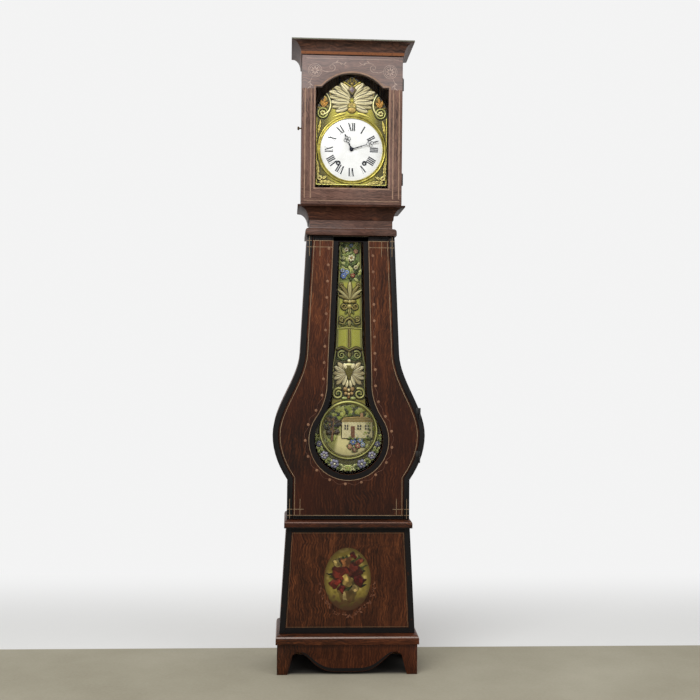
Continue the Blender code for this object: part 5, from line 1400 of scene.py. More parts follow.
def rounded(far, height):
    """The height of a round body, from its middle at far 0 to its edge at far 1; below nothing outside."""
    return np.where(far < 1, height * np.sqrt(np.clip(1 - far**2, 0, 1)), -1)


class Emboss:
    """Heights and colours over points x, z in millimetres; mirror repeats a shape on the other side."""

    def __init__(self, x, z, ground, metal_share):
        self.x, self.z = x, z
        self.rise = np.zeros_like(x)
        self.tint = np.ones(x.shape + (3,)) * linear(ground)
        self.metal = np.ones_like(x) * metal_share

    def lay(self, shape, colour, metal_share=0.25):
        """Raise the sheet to a shape wherever the shape is higher, and paint it there."""
        over = shape > self.rise
        self.rise[over] = shape[over]
        self.tint[over] = linear(colour)
        self.metal[over] = metal_share

    def slab(self, where, height, colour, metal_share=0.25):
        """A shape with its own height wherever a mask holds."""
        self.lay(np.where(where, height, -1), colour, metal_share)

    def wash(self, share, colour, metal_share=None):
        """Colour that doesn't raise the sheet; a share outside 0 to 1 is held to it."""
        share = np.clip(share, 0, 1)
        self.tint += share[..., None] * (linear(colour) - self.tint)
        if metal_share is not None:
            self.metal += share * (metal_share - self.metal)

    def leaf_places(self, base, angle, length, width, bend, lobes, mirror, swell):
        """Each point's share of a leaf's length, its way off the midrib, and that over the half width."""
        x = np.abs(self.x) if mirror else self.x
        turned_by = math.radians(angle)
        dx, dz = x - base[0], self.z - base[1]
        along = (dx * math.cos(turned_by) + dz * math.sin(turned_by)) / length
        off = -dx * math.sin(turned_by) + dz * math.cos(turned_by) - bend * length * along**2
        share = np.clip(along, 1e-4, 1 - 1e-4)
        half = 0.5 * width * np.sin(math.pi * share**swell) ** 0.75
        if lobes:
            half = half * (0.84 + 0.16 * np.cos(2 * math.pi * lobes * share))
        return along, off, np.abs(off) / np.maximum(half, 1e-3)

    def leaf(
        self, base, angle, length, width, height, colour,
        bend=0.0, lobes=0, metal_share=0.25, mirror=True, swell=0.72, rib=0.45,
    ):
        """A leaf from its base, with a sunk midrib and fine veins."""
        along, off, side = self.leaf_places(base, angle, length, width, bend, lobes, mirror, swell)
        share = np.clip(along, 1e-4, 1 - 1e-4)
        body = height * np.sqrt(np.clip(1 - side**2, 0, 1)) * (0.5 + 0.5 * np.sin(math.pi * share) ** 0.6)
        body = body - rib * height * np.exp(-((off / (0.09 * width)) ** 2))
        veins = max(3.0, length / 5.5)
        body = body + 0.22 * rib * height * np.cos(2 * math.pi * (share * veins - side * 0.9))
        self.slab((along > 0) & (along < 1) & (side < 1), np.maximum(body, 0.2), colour, metal_share)

    def leaf_shade(self, base, angle, length, width, colour, bend, swell):
        """A dark line of painted shade on whatever lies just outside a leaf."""
        along, _, side = self.leaf_places(base, angle, length, width, bend, 0, True, swell)
        line = np.where((along > 0.12) & (along < 1), np.exp(-(((side - 1.15) / 0.18) ** 2)), 0.0)
        self.wash(line * 0.9, colour, 0.1)

    def dome(self, centre, rx, rz, height, colour, metal_share=0.25, mirror=True):
        x = np.abs(self.x) if mirror else self.x
        far = ((x - centre[0]) / rx) ** 2 + ((self.z - centre[1]) / rz) ** 2
        self.slab(far < 1, height * np.sqrt(np.clip(1 - far, 0, 1)), colour, metal_share)

    def ring(self, centre, radius, half, height, colour, metal_share=0.6):
        far = np.abs(np.hypot(self.x - centre[0], self.z - centre[1]) - radius) / half
        self.lay(rounded(far, height), colour, metal_share)

    def roll(self, path, start_half, end_half, height, colour, metal_share=0.5, mirror=True):
        """A rounded strip along a path, as a scroll or a stem."""
        x = np.abs(self.x) if mirror else self.x
        best = np.full(x.shape, 9.0)
        path = np.array(path, float)
        for i in range(len(path) - 1):
            a, b = path[i], path[i + 1]
            way = b - a
            t = np.clip(((x - a[0]) * way[0] + (self.z - a[1]) * way[1]) / max(way @ way, 1e-9), 0, 1)
            half = start_half + (end_half - start_half) * (i + t) / (len(path) - 1)
            best = np.minimum(best, np.hypot(x - a[0] - way[0] * t, self.z - a[1] - way[1] * t) / half)
        self.lay(rounded(best, height), colour, metal_share)

    def flower(self, centre, radius, petals, height, colour, heart, metal_share=0.2, mirror=True):
        for k in range(petals):
            t = 2 * math.pi * (k + 0.25) / petals
            place = (centre[0] + 0.58 * radius * math.cos(t), centre[1] + 0.58 * radius * math.sin(t))
            self.dome(place, 0.44 * radius, 0.44 * radius, height, colour, metal_share, mirror)
        self.dome(centre, 0.32 * radius, 0.32 * radius, height * 1.25, heart, metal_share, mirror)

    def mean_rise(self, turns):
        mean = self.rise.copy()
        for _ in range(turns):
            wide = np.pad(mean, 1, mode="edge")
            mean = (wide[:-2, 1:-1] + wide[2:, 1:-1] + wide[1:-1, :-2] + wide[1:-1, 2:] + 2 * mean) / 6
        return mean

    def grime_and_painted_light(self, dark=(28, 24, 12), strength=1.0):
        """Old varnish gathers in hollows. Undersides get painted shade and upward slopes a painted highlight,
        for light from above; crests are rubbed bright and painted lighter still.
        """
        deep = self.mean_rise(16) - self.rise
        # Painted shade on undersides, where the slope is above 0, and painted highlight on upward slopes and
        # crests.
        slope = np.gradient(self.rise, axis=0) / max(float(self.z[1, 0] - self.z[0, 0]), 1e-6)
        self.wash(np.clip(deep / 1.3, 0, 1) * 0.85 * strength, dark)
        self.wash(np.clip(slope / 1.6, 0, 1) * 0.55 * strength, dark)
        lit = np.clip(-slope / 1.6, 0, 1) * 0.55 + np.clip(-deep / 1.8, 0, 1) * 0.35
        self.tint = np.clip(self.tint * (1 + strength * lit[..., None]), 0, 0.9)

    def soil(self):
        """How deep each point lies below the mean of its neighbours, 0 to 1."""
        return np.clip((self.mean_rise(5) - self.rise) / 0.7, 0, 1)


def pressed_sheet(name, half_at, low, high, columns, rows, design, y_ground, depth, hole=None):
    """A grid between two heights, as wide as half_at says, raised by a design and closed at the back."""
    grid = bpy.ops.mesh.primitive_grid_add
    piece = started(name, grid, x_subdivisions=columns, y_subdivisions=rows, size=1.0)
    z = np.linspace(low, high, rows + 1)[:, None] * np.ones((1, columns + 1))
    half = np.array([half_at(value) for value in z[:, 0]])[:, None]
    x = np.linspace(-1, 1, columns + 1)[None, :] * half
    if hole:
        centre_z, hole_radius, cell = hole
        far = np.hypot(x, z - centre_z)
        near = np.abs(far - hole_radius) < cell * 0.55
        pull = np.where(near, hole_radius / np.maximum(far, 1e-6), 1.0)
        x, z = x * pull, centre_z + (z - centre_z) * pull
    canvas = design(x, z)
    y = y_ground - canvas.rise * 0.001
    places = np.stack([x * 0.001, y, z * 0.001], axis=-1).reshape(-1, 3)
    mesh = piece.data
    mesh.vertices.foreach_set("co", places.ravel())
    colour = mesh.color_attributes.new("paint", "FLOAT_COLOR", "POINT")
    colour.data.foreach_set("color", np.concatenate([canvas.tint, canvas.metal[..., None]], axis=-1).ravel())
    dirt = mesh.attributes.new("soil", "FLOAT", "POINT")
    dirt.data.foreach_set("value", canvas.soil().ravel())
    only(piece)
    if hole:
        # the faces inside the hole are taken out
        bpy.ops.object.mode_set(mode="EDIT")
        bpy.ops.mesh.select_mode(type="FACE")
        bpy.ops.mesh.select_all(action="DESELECT")
        bpy.ops.object.mode_set(mode="OBJECT")
        for face in mesh.polygons:
            middle = face.center
            face.select = math.hypot(middle.x * 1000, middle.z * 1000 - hole[0]) < hole[1]
        bpy.ops.object.mode_set(mode="EDIT")
        bpy.ops.mesh.delete(type="FACE")
        bpy.ops.object.mode_set(mode="OBJECT")
    # the open rim is drawn back to one depth and filled, which closes the sheet
    bpy.ops.object.mode_set(mode="EDIT")
    bpy.ops.mesh.select_mode(type="EDGE")
    bpy.ops.mesh.select_all(action="DESELECT")
    bpy.ops.mesh.select_non_manifold(
        extend=False,
        use_wire=False,
        use_boundary=True,
        use_multi_face=False,
        use_non_contiguous=False,
        use_verts=False,
    )
    bpy.ops.mesh.extrude_region_move(TRANSFORM_OT_translate={"value": (0.0, depth, 0.0)})
    bpy.ops.object.mode_set(mode="OBJECT")
    for vertex in mesh.vertices:
        if vertex.select:
            vertex.co.y = y_ground + depth
    bpy.ops.object.mode_set(mode="EDIT")
    bpy.ops.mesh.fill(use_beauty=False)
    bpy.ops.mesh.select_all(action="SELECT")
    bpy.ops.mesh.remove_doubles(threshold=SHEET_MERGE)
    bpy.ops.mesh.normals_make_consistent(inside=False)
    bpy.ops.mesh.select_mode(type="VERT")
    bpy.ops.object.mode_set(mode="OBJECT")
    bpy.ops.object.shade_smooth_by_angle(angle=math.radians(60))
    print(name, "has", len(mesh.polygons), "faces, highest", round(float(canvas.rise.max()), 1), "mm")
    return piece


def painted_brass(name, gloss=0.32):
    """Pressed brass: the paint and its share of bare metal come with the sheet, dirt lies in the hollows."""
    finish = Finish(name)
    place = finish.place()
    hue = finish.own("paint", "Color")
    bare = finish.own("paint", "Alpha")
    dirt = finish.own("soil", "Fac")
    cloud = finish.noise(place, 70.0, 3.0, 0.6)
    fine = finish.noise(place, 700.0, 2.0, 0.6)
    colour = finish.mixed(hue, paint(96, 80, 36), cloud.rising(0.5, 0.85) * 0.35)
    colour = finish.mixed(colour, paint(34, 28, 14), dirt.rising(0.05, 0.75) * 0.8)
    rough = gloss + cloud * 0.16 + dirt * 0.3
    relief = finish.bump(fine * 0.5 + cloud * 0.5, 0.12, 0.0006)
    return finish.surface(base_color=colour, roughness=rough, metallic=bare * (1 - dirt * 0.6), normal=relief)


pressed_brass = painted_brass("pressed_brass")
print("canvas ready")

# %% [markdown]
# ## The arched plate over the dial
# The thin plate behind the bezel is pressed with wings of long leaves about a lozenge, scrolls with
# rosettes at the shoulders, and sprays in the lower corners; the leaves were silvered, the rest left brass.

# %% The arched plate over the dial
BRASS_FIELD = (170, 160, 70)
FRONTON_HALF = 133.0
FRONTON_SHOULDER = 118.0
FRONTON_CREST = 272.0
FRONTON_DROP = 135.0
PLATE_SHEET = 0.0006
SPRAY_TONE = (206, 190, 112)


def plate_half(z):
    """Half width of the arched plate at a height, in millimetres from the middle of the dial."""
    rise = z - DIAL_Z * 1000
    if rise <= FRONTON_SHOULDER:
        return FRONTON_HALF
    share = min(1.0, (rise - FRONTON_SHOULDER) / (FRONTON_CREST - FRONTON_SHOULDER)) ** 1.25
    return max(0.4, FRONTON_HALF * math.cos(math.pi / 2 * share))


def plate_design(x, z):
    sheet = Emboss(x, z - DIAL_Z * 1000, BRASS_FIELD, 0.8)
    rise, wide = sheet.z, np.abs(x)
    half = np.array([plate_half(value) for value in z[:, 0]])[:, None]
    # Painted shade: the plate darkens towards its sides and strongly along its upper rim and crest, in the
    # shade of the door's arch; the lower outer corners are a little darker.
    rim_painted_shadow = np.clip((wide - half + 34) / 30, 0, 1) * np.clip((rise - 128) / 40, 0, 1)
    sheet.wash(np.clip((wide - 54) / 46, 0, 1) * 0.9, (68, 63, 33), 0.5)
    sheet.wash(rim_painted_shadow + np.clip((rise - 216) / 24, 0, 1), (34, 29, 15), 0.12)
    sheet.wash(np.clip((wide - 92) / 30, 0, 1) * np.clip((-88 - rise) / 26, 0, 1) * 0.8, (92, 78, 34), 0.6)
    sheet.roll([(130, -132), (130, 116)], 1.8, 1.8, 1.6, (206, 190, 96), 0.8)
    sheet.roll([(0, -131), (130, -131)], 2.4, 2.4, 2.4, (226, 214, 124), 0.85)
    tufts = np.random.default_rng(5)
    for k, share in enumerate(np.linspace(0.10, 0.97, 34)):
        reach = (112, 100, 86)[k % 3]
        place = (reach * math.cos(math.pi / 2 * share), 120 + (reach + 20) * share**0.8)
        lean = math.degrees(math.atan2(place[1] - 110, place[0])) + tufts.uniform(-55, 55)
        tone = ((150, 132, 66), (98, 84, 40), (122, 110, 56))[k % 3]
        sheet.leaf(place, lean, 22, 10, 3.4, tone, 0.1, 3, 0.4)
    hollow = 1 - np.hypot(sheet.x / 20, (rise - 214) / 30)
    sheet.wash(hollow * 3, (44, 36, 20), 0.4)
    fronds = (
        ((6, 160), -7, 56, -0.24),
        ((6, 166), 6, 67, -0.26),
        ((6, 172), 17, 75, -0.28),
        ((6, 179), 27, 81, -0.30),
        ((6, 186), 37, 83, -0.31),
        ((6, 194), 47, 76, -0.28),
        ((5, 204), 60, 58, -0.20),
    )
    for k, (base, angle, length, droop) in enumerate(fronds):
        tone = ((214, 202, 160), (186, 174, 130))[k % 2]
        sheet.leaf_shade(base, angle, length, 27, (38, 32, 16), droop, 1.05)
        sheet.leaf(base, angle, length, 27, 5.2 + 0.3 * k, tone, droop, 0, 0.3, True, 1.05, 0.22)
    for k, reach in enumerate((17.0, 11.5)):
        lozenge = 1 - (wide / reach + np.abs(rise - 220) / (reach * 1.1))
        colour = ((104, 90, 50), (136, 118, 140))[k]
        sheet.slab(lozenge > 0, 8.0 + 3 * lozenge, colour, 0.2)
    sheet.roll(bent_path([(0, 231), (12, 238), (24, 247), (32, 250)], 16), 3.2, 2.4, 7.0, (216, 190, 98), 0.6)
    sheet.roll(spiral((27, 244), 6, 2, 60, 1.1), 2.0, 1.4, 6.0, (216, 190, 98), 0.6)
    sheet.dome((0, 244), 6, 7, 6.0, (150, 128, 66), 0.5)
    weave = np.cos(sheet.x * 1.3) * np.cos(rise * 1.3)
    bowl = 1 - ((sheet.x / 16) ** 2 + ((rise - 150) / 15) ** 2)
    bowl_rise = 6 * np.sqrt(np.clip(bowl, 0, 1)) + 0.8 * weave
    sheet.slab((bowl > 0) & (rise < 157), bowl_rise, (186, 156, 84), 0.5)
    sheet.roll([(0, 157), (17, 157)], 2.2, 2.2, 7.6, (222, 206, 130), 0.6)
    for angle in (38, 64, 90):
        sheet.leaf((2, 157), angle, 20, 10, 7.0, (210, 186, 112), 0.0, 0, 0.5)
    stem = bent_path([(96, 207), (87, 194), (80, 174), (81, 154), (88, 139), (99, 130)], 26)
    sheet.roll(stem, 2.6, 4.4, 6.4, (214, 206, 150), 0.45)
    sheet.roll(spiral((108, 134), 17.5, 17.5, 0, 1.0, 32), 3.8, 3.8, 6.0, (158, 158, 92), 0.55)
    sheet.dome((108, 134), 14, 14, 1.2, (104, 98, 48), 0.5)
    sheet.flower((108, 134), 12, 6, 5.0, (198, 190, 124), (120, 96, 44), 0.5)
    for angle, length in ((96, 42), (70, 32), (124, 30)):
        sheet.leaf((106, 155), angle, length, 13, 5.0, (190, 138, 58), 0.06, 3, 0.4)
    sheet.leaf((124, 60), 97, 50, 12, 3.4, (208, 190, 100), 0.06, 4, 0.7)
    sheet.leaf((22, 136), -10, 50, 9, 2.6, (214, 200, 104), -0.14, 0, 0.75)
    sprays = (
        ((112, -119), 186, 58),
        ((123, -98), 84, 54),
        ((110, -112), 146, 24),
        ((116, -116), 236, 18),
        ((118, -104), 50, 18),
    )
    for base, angle, length in sprays:
        sheet.leaf(base, angle, length, 15, 5.2, SPRAY_TONE, 0.06, 4, 0.5)
    sheet.flower((118, -107), 11, 6, 6.2, (224, 206, 132), (126, 92, 40), 0.5)
    sheet.grime_and_painted_light(strength=0.95)
    sheet.wash(np.where(wide / 10 + np.abs(rise - 220) / 11 < 1, 0.7, 0.0), (116, 100, 118))
    return sheet


_, fronton_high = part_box("fronton")
arched_plate = pressed_sheet(
    "arched_brass_plate",
    plate_half,
    DIAL_Z * 1000 - FRONTON_DROP,
    DIAL_Z * 1000 + FRONTON_CREST - 0.2,
    214,
    330,
    plate_design,
    fronton_high.y - PLATE_SHEET,
    PLATE_SHEET,
    hole=(DIAL_Z * 1000, 119.0, 1.25),
)
settle(arched_plate, pressed_brass, "case", "brass", "fronton")

# %% [markdown]
# ## The pendulum
# A long strip of pressed and painted brass hangs in the window and ends in a round medallion. From the top:
# a spray of flowers, a calyx, a knot with a drop, scrolls, a plain field, a shell of cream leaves, and the
# medallion with a cottage among trees in a raised ring, with a garland of grey flowers under it. Strip and
# medallion are two sheets cut from one design, so the ornament runs on from one to the other.

# %% The pendulum
plate_box_low, plate_box_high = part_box("pendulum_plate")
STRIP_TOP = plate_box_high.z * 1000
BOB_BOTTOM = plate_box_low.z * 1000
BOB_RADIUS = 124.0
BOB_Z = BOB_BOTTOM + BOB_RADIUS
MEDAL_Z = BOB_Z + 30.4
MEDAL_RADIUS = 106.0
RING_EDGE = 111.6
STRIP_HALF = 62.0
RING_MEET = math.sqrt(RING_EDGE**2 - STRIP_HALF**2)
STRIP_SEAM = BOB_Z + 144.0
OLIVE = (138, 128, 56)


def pendulum_half(z):
    """Half width of strip and medallion at a height, in millimetres."""
    if z <= MEDAL_Z + RING_MEET:
        bob, ring = BOB_RADIUS**2 - (z - BOB_Z) ** 2, RING_EDGE**2 - (z - MEDAL_Z) ** 2
        return math.sqrt(max(0.36, bob, ring))
    levels = [BOB_Z + 272.8, BOB_Z + 347.2, STRIP_TOP]
    return float(np.interp(z, levels, [STRIP_HALF, 50.0, 40.0]))


def strip_ornament(sheet, half):
    x, z = sheet.x, sheet.z
    sheet.wash(np.where(z > 1197, 1.0, 0.0), (166, 164, 66), 0.3)
    near_edge = np.clip((np.abs(x) - half + 11) / 6, 0, 1)
    sheet.wash(np.where((z > 1197) & (z < 1447), near_edge, 0.0) * 0.8, (124, 122, 92), 0.3)
    sheet.wash((z - 1439) / 14, (104, 118, 54), 0.1)
    sheet.wash(np.clip((1200 - z) / 12, 0, 1) * np.clip((z - 1000) / 12, 0, 1), (74, 72, 34), 0.3)
    sheet.wash(np.clip((1328 - z) / 12, 0, 1) * np.clip((z - 1274) / 4, 0, 1) * 0.5, (90, 88, 50), 0.3)
    edge = np.abs(np.abs(x) - (half - 2.6)) / 2.4
    strip = (z > STRIP_SEAM + 8) & (z < STRIP_TOP - 2)
    sheet.slab(strip, rounded(edge, 2.0), (134, 130, 74), 0.5)
    foliage = np.random.default_rng(3)
    greens = ((92, 110, 48), (162, 172, 84), (192, 194, 120), (66, 80, 38), (136, 150, 76))
    for k in range(68):
        place = (foliage.uniform(-34, 34), foliage.uniform(1447, 1588))
        size = foliage.uniform(17, 28)
        lean = foliage.uniform(10, 170)
        height = foliage.uniform(2.0, 5.0)
        sheet.leaf(place, lean, size, size * 0.52, height, greens[k % 5], 0.1, 0, 0.1, False)
    blooms = (
        (5, 1535, 14, (206, 200, 160), (176, 128, 60)), (-14, 1567, 9, (214, 208, 176), (170, 120, 60)),
        (-24, 1468, 12, (92, 116, 172), (206, 206, 190)), (-12, 1481, 10, (120, 142, 186), (214, 206, 150)),
        (-28, 1488, 9, (150, 164, 192), (120, 120, 80)), (21, 1560, 9, (186, 134, 108), (220, 196, 120)),
        (22, 1500, 9, (196, 190, 146), (140, 96, 52)), (-24, 1535, 7, (178, 182, 128), (130, 96, 50)),
        (10, 1470, 9, (148, 82, 62), (216, 190, 116)), (4, 1582, 7, (120, 142, 186), (220, 206, 150)),
    )
    for cx, cz, size, colour, heart in blooms:
        sheet.flower((cx, cz), size, 6, 5.6, colour, heart, 0.1, False)
    for k, (angle, length) in enumerate(((34, 46), (52, 60), (70, 68), (90, 70))):
        tone = ((118, 106, 56), (164, 154, 102))[k % 2]
        sheet.leaf((1, 1378), angle, length, 15, 7.0, tone, -0.20 if k < 3 else 0.0, 0, 0.3, True, 1.2, 0.12)
    sheet.roll(spiral((33, 1432), 7.5, 2, 150, -1.2), 2.6, 1.6, 6.0, (140, 128, 74), 0.4)
    sheet.dome((13, 1373), 12, 7.5, 7.0, (146, 132, 72), 0.4)
    sheet.dome((0, 1372), 7, 8, 8.0, (178, 164, 104), 0.4)
    sheet.roll(spiral((21, 1354), 12, 3, 190, 1.3), 3.8, 2.4, 7.0, (138, 124, 66), 0.4)
    sheet.dome((0, 1354), 9, 10, 7.0, (160, 146, 84), 0.4)
    sheet.leaf((0, 1350), -90, 32, 13, 6.0, (168, 158, 92), 0, 0, 0.4)
    sheet.leaf((5, 1346), -58, 26, 9, 4.4, (112, 116, 52), -0.1, 0, 0.2)
    lower_arm = bent_path([(2, 1311), (13, 1303), (22, 1289), (38, 1292)], 18)
    sheet.roll(lower_arm, 4.6, 3.2, 6.5, (122, 114, 60), 0.4)
    sheet.roll(spiral((29, 1308), 9.5, 2, 250, 1.3), 3.0, 1.8, 6.0, (150, 140, 82), 0.4)
    sheet.leaf((4, 1295), -32, 34, 11, 5.0, (102, 106, 50), 0.12, 3, 0.2)
    sheet.leaf((0, 1303), -90, 26, 12, 6.0, (170, 160, 100), 0, 0, 0.4)
    sheet.roll([(0, 1274), (46, 1272)], 2.0, 2.0, 3.0, (176, 172, 92), 0.5)
    sheet.roll([(0, 1267), (0, 1204)], 3.6, 3.6, 3.4, (128, 112, 62), 0.4)
    sheet.roll([(6.5, 1267), (6.5, 1206)], 1.3, 1.3, 1.6, (196, 190, 104), 0.5)
    brow = bent_path([(0, 1186), (12, 1194), (28, 1200), (46, 1192)], 18)
    sheet.roll(brow, 4.0, 3.4, 6.0, (92, 82, 44), 0.4)
    sheet.roll(spiral((29, 1172), 16, 3, 120, -1.5), 4.4, 2.6, 7.0, (132, 132, 80), 0.4)
    sheet.leaf((5, 1158), 30, 34, 13, 5.0, (92, 106, 50), 0.1, 3, 0.2)
    sheet.leaf((10, 1156), 2, 44, 12, 4.4, (84, 100, 48), 0.1, 3, 0.2)
    sheet.leaf((0, 1162), 90, 28, 12, 6.0, (150, 140, 84), 0, 0, 0.4)


def shell_ornament(sheet):
    rays = ((-66, 52), (-43, 63), (-21, 59), (-1, 57), (19, 57), (40, 54), (63, 38))
    for k, (angle, length) in enumerate(rays):
        bend = 0.06 if angle > 0 else -0.06
        tone = ((212, 200, 156), (182, 168, 124))[k % 2]
        sheet.leaf_shade((4, 1107), angle, length, 21, (40, 34, 18), bend, 1.75)
        sheet.leaf((4, 1107), angle, length, 21, 7.6 + 0.12 * k, tone, bend, 0, 0.2, True, 1.75, 0.10)
    sheet.leaf((3, 1084), -80, 34, 14, 8.4, (214, 202, 158), 0, 0, 0.2, True, 1.5, 0.10)
    sheet.dome((0, 1136), 17, 7, 8.0, (214, 204, 146), 0.3)
    body = np.minimum((1131 - sheet.z) / 8, (sheet.z - 1076 - np.abs(sheet.x) * 2.3) / 9)
    sheet.slab(body > 0, 6.2 + 1.6 * np.sqrt(np.clip(body, 0, 1)), (92, 84, 32), 0.35)
    sheet.dome((0, 1151), 7, 7, 8.5, (216, 204, 156), 0.3)
    beads = (
        (0, 1042, 6.5, (200, 184, 130)),
        (13, 1045, 9, (136, 108, 66)),
        (11, 1029, 7, (154, 126, 80)),
        (0, 1026, 6.5, (186, 160, 110)),
        (0, 1014, 5, (130, 92, 56)),
    )
    for cx, cz, size, colour in beads:
        sheet.dome((cx, cz), size, size, 7.0, colour, 0.3)
    sheet.roll(spiral((40, 1028), 21, 6, 110, -1.4), 5.4, 3.0, 8.0, (160, 156, 96), 0.4)
    sheet.dome((40, 1028), 6, 6, 5.0, (84, 100, 44), 0.1)
    sheet.dome((16, 1011), 11, 6, 5.6, (146, 152, 92), 0.3)


def medallion_scene(sheet):
    x, z = sheet.x, sheet.z - MEDAL_Z
    far = np.hypot(x, z)
    inside = far < MEDAL_RADIUS - 4
    sheet.wash(inside * 1.0, (150, 152, 88), 0.03)
    sheet.wash(inside * np.clip((40 - z) / 60, 0, 1), (184, 176, 112), 0.03)
    sheet.wash((inside & (np.hypot(x - 22, z - 74) < 26)) * 0.8, (196, 194, 180), 0.03)
    ground = -14 + 7 * np.sin(x / 26)
    sheet.wash((inside & (z < ground)) * 1.0, (150, 148, 80), 0.03)
    path_half = 26 + (ground - z) * 0.75
    path_mid = -16 + (ground - z) * 0.42
    path_share = 1 - np.abs(x - path_mid) / path_half
    sheet.wash((inside & (z < ground)) * path_share * 4, (214, 202, 152), 0.03)
    crowns = np.random.default_rng(7)
    tones = ((98, 116, 42), (148, 158, 62), (54, 62, 28), (184, 186, 100))
    shade_tones = ((22, 18, 15), (60, 44, 26), (28, 28, 20), (118, 88, 46))
    grass_tones = ((106, 112, 52), (156, 158, 82), (78, 84, 40))
    ivy_tones = ((92, 104, 44), (132, 140, 64), (60, 68, 32))
    for k in range(84):
        t = crowns.uniform(-0.02, 1.02) * math.pi
        r = crowns.uniform(56, 98)
        spot = (r * math.cos(t), 2 + r * math.sin(t) * 0.98)
        size, height = crowns.uniform(7, 14), crowns.uniform(1.4, 3.4)
        blob(sheet, spot, size, height, tones[int(crowns.integers(4))], inside)
    for k in range(46):
        spot = (-58 + crowns.normal(0, 15), 18 + crowns.normal(0, 20))
        blob(sheet, spot, crowns.uniform(6, 12), crowns.uniform(2.6, 4.6), shade_tones[k % 4], inside)
    lit = np.where(z < ground, np.clip(path_share * 4, 0, 1), 0.0)
    sheet.tint *= np.where(inside, 0.74 + 0.22 * lit, 1.0)[..., None]
    sheet.tint[..., 2] *= np.where(inside, 0.86, 1.0)
    wall = (x > -24) & (x < 90) & (z > -30) & (z < 32) & inside
    streaks = 0.25 * np.cos(x * 0.55 + 2 * np.sin(z / 9)) * np.cos(z * 0.42)
    sheet.slab(wall, 4.2 + streaks, (206, 195, 150), 0.03)
    weathering = np.clip((x - 30) / 70, 0, 1) * 0.5 + 0.2 * np.cos(z / 7 + x / 13) ** 2
    sheet.wash(wall * weathering, (150, 140, 92))
    roof = (z >= 31) & (z < 52 - 0.10 * np.abs(x - 33)) & (np.abs(x - 33) < 61 - (z - 31) * 0.6) & inside
    sheet.slab(roof, 4.8 + 0.4 * np.cos(z * 1.1), (138, 116, 62), 0.05)
    chimney = (x > 44) & (x < 55) & (z > 48) & (z < 64)
    sheet.slab(chimney, 4.6, (170, 132, 92), 0.05)
    for left, right, low, high in ((-15, 0, 2, 21), (33, 48, 2, 21), (62, 77, 2, 21)):
        pane = (x > left) & (x < right) & (z > low) & (z < high)
        bars = (np.abs(x - (left + right) / 2) < 0.9) | (np.abs(z - (low + high) / 2) < 0.9)
        sheet.slab(pane, 4.6, (46, 42, 30), 0.03)
        sheet.slab(pane & bars, 4.9, (222, 212, 170), 0.03)
    door = (x > 9) & (x < 24) & (z > -30) & (z < 16)
    sheet.slab(door, 4.6, (104, 66, 42), 0.03)
    trunk = np.array([(-62, -36), (-58.5, 4), (-55, 46)], float) + np.array([0, MEDAL_Z])
    sheet.roll(trunk, 4.6, 2.6, 5.0, (104, 74, 46), 0.03, False)
    for k in range(44):
        spot = (crowns.uniform(-98, 98), crowns.uniform(-92, -22))
        if abs(spot[0] + 16 + (spot[1] + 14) * 0.42) > 30 - (spot[1] + 14) * 0.75:
            blob(sheet, spot, crowns.uniform(6, 12), crowns.uniform(1.2, 3.0), grass_tones[k % 3], inside)
    for k in range(26):
        spot = (84 - abs(crowns.normal(0, 11)), crowns.uniform(-34, 42))
        if k % 3 == 0:
            spot = (crowns.uniform(-26, 80), -32 + abs(crowns.normal(0, 5)))
        blob(sheet, spot, crowns.uniform(4, 8), crowns.uniform(4.8, 5.6), ivy_tones[k % 3], inside)
    posy = (
        (26, -22, 13, (98, 116, 152)),
        (44, -36, 12, (118, 134, 164)),
        (18, -44, 12, (86, 104, 146)),
        (36, -58, 11, (138, 82, 68)),
        (54, -54, 10, (138, 150, 172)),
        (6, -62, 9, (160, 112, 84)),
        (58, -20, 9, (190, 184, 158)),
        (24, -74, 9, (112, 68, 56)),
    )
    for cx, cz, size, colour in posy:
        place = (cx, cz + MEDAL_Z)
        for lean in (20, 140, 260):
            sheet.leaf(place, lean + 3 * cx, size * 1.5, size * 0.7, 4.0, (88, 106, 46), 0.1, 0, 0.03, False)
        sheet.flower(place, size, 6, 4.4, colour, (204, 190, 134), 0.03, False)
    # Painted shade inside the raised ring, darker towards its edge.
    sheet.wash(inside * np.clip((far - 66) / 38, 0, 1) * 0.55, (58, 52, 24))


def blob(sheet, centre, size, height, colour, inside):
    """A tuft of leaves: a low dome with a crinkled edge."""
    dx, dz = sheet.x - centre[0], sheet.z - MEDAL_Z - centre[1]
    around = np.arctan2(dz, dx)
    far = np.hypot(dx, dz) / (size * (1 + 0.16 * np.cos(5 * around) + 0.1 * np.cos(11 * around)))
    sheet.slab((far < 1) & inside, rounded(far, height) + 0.2, colour, 0.08)


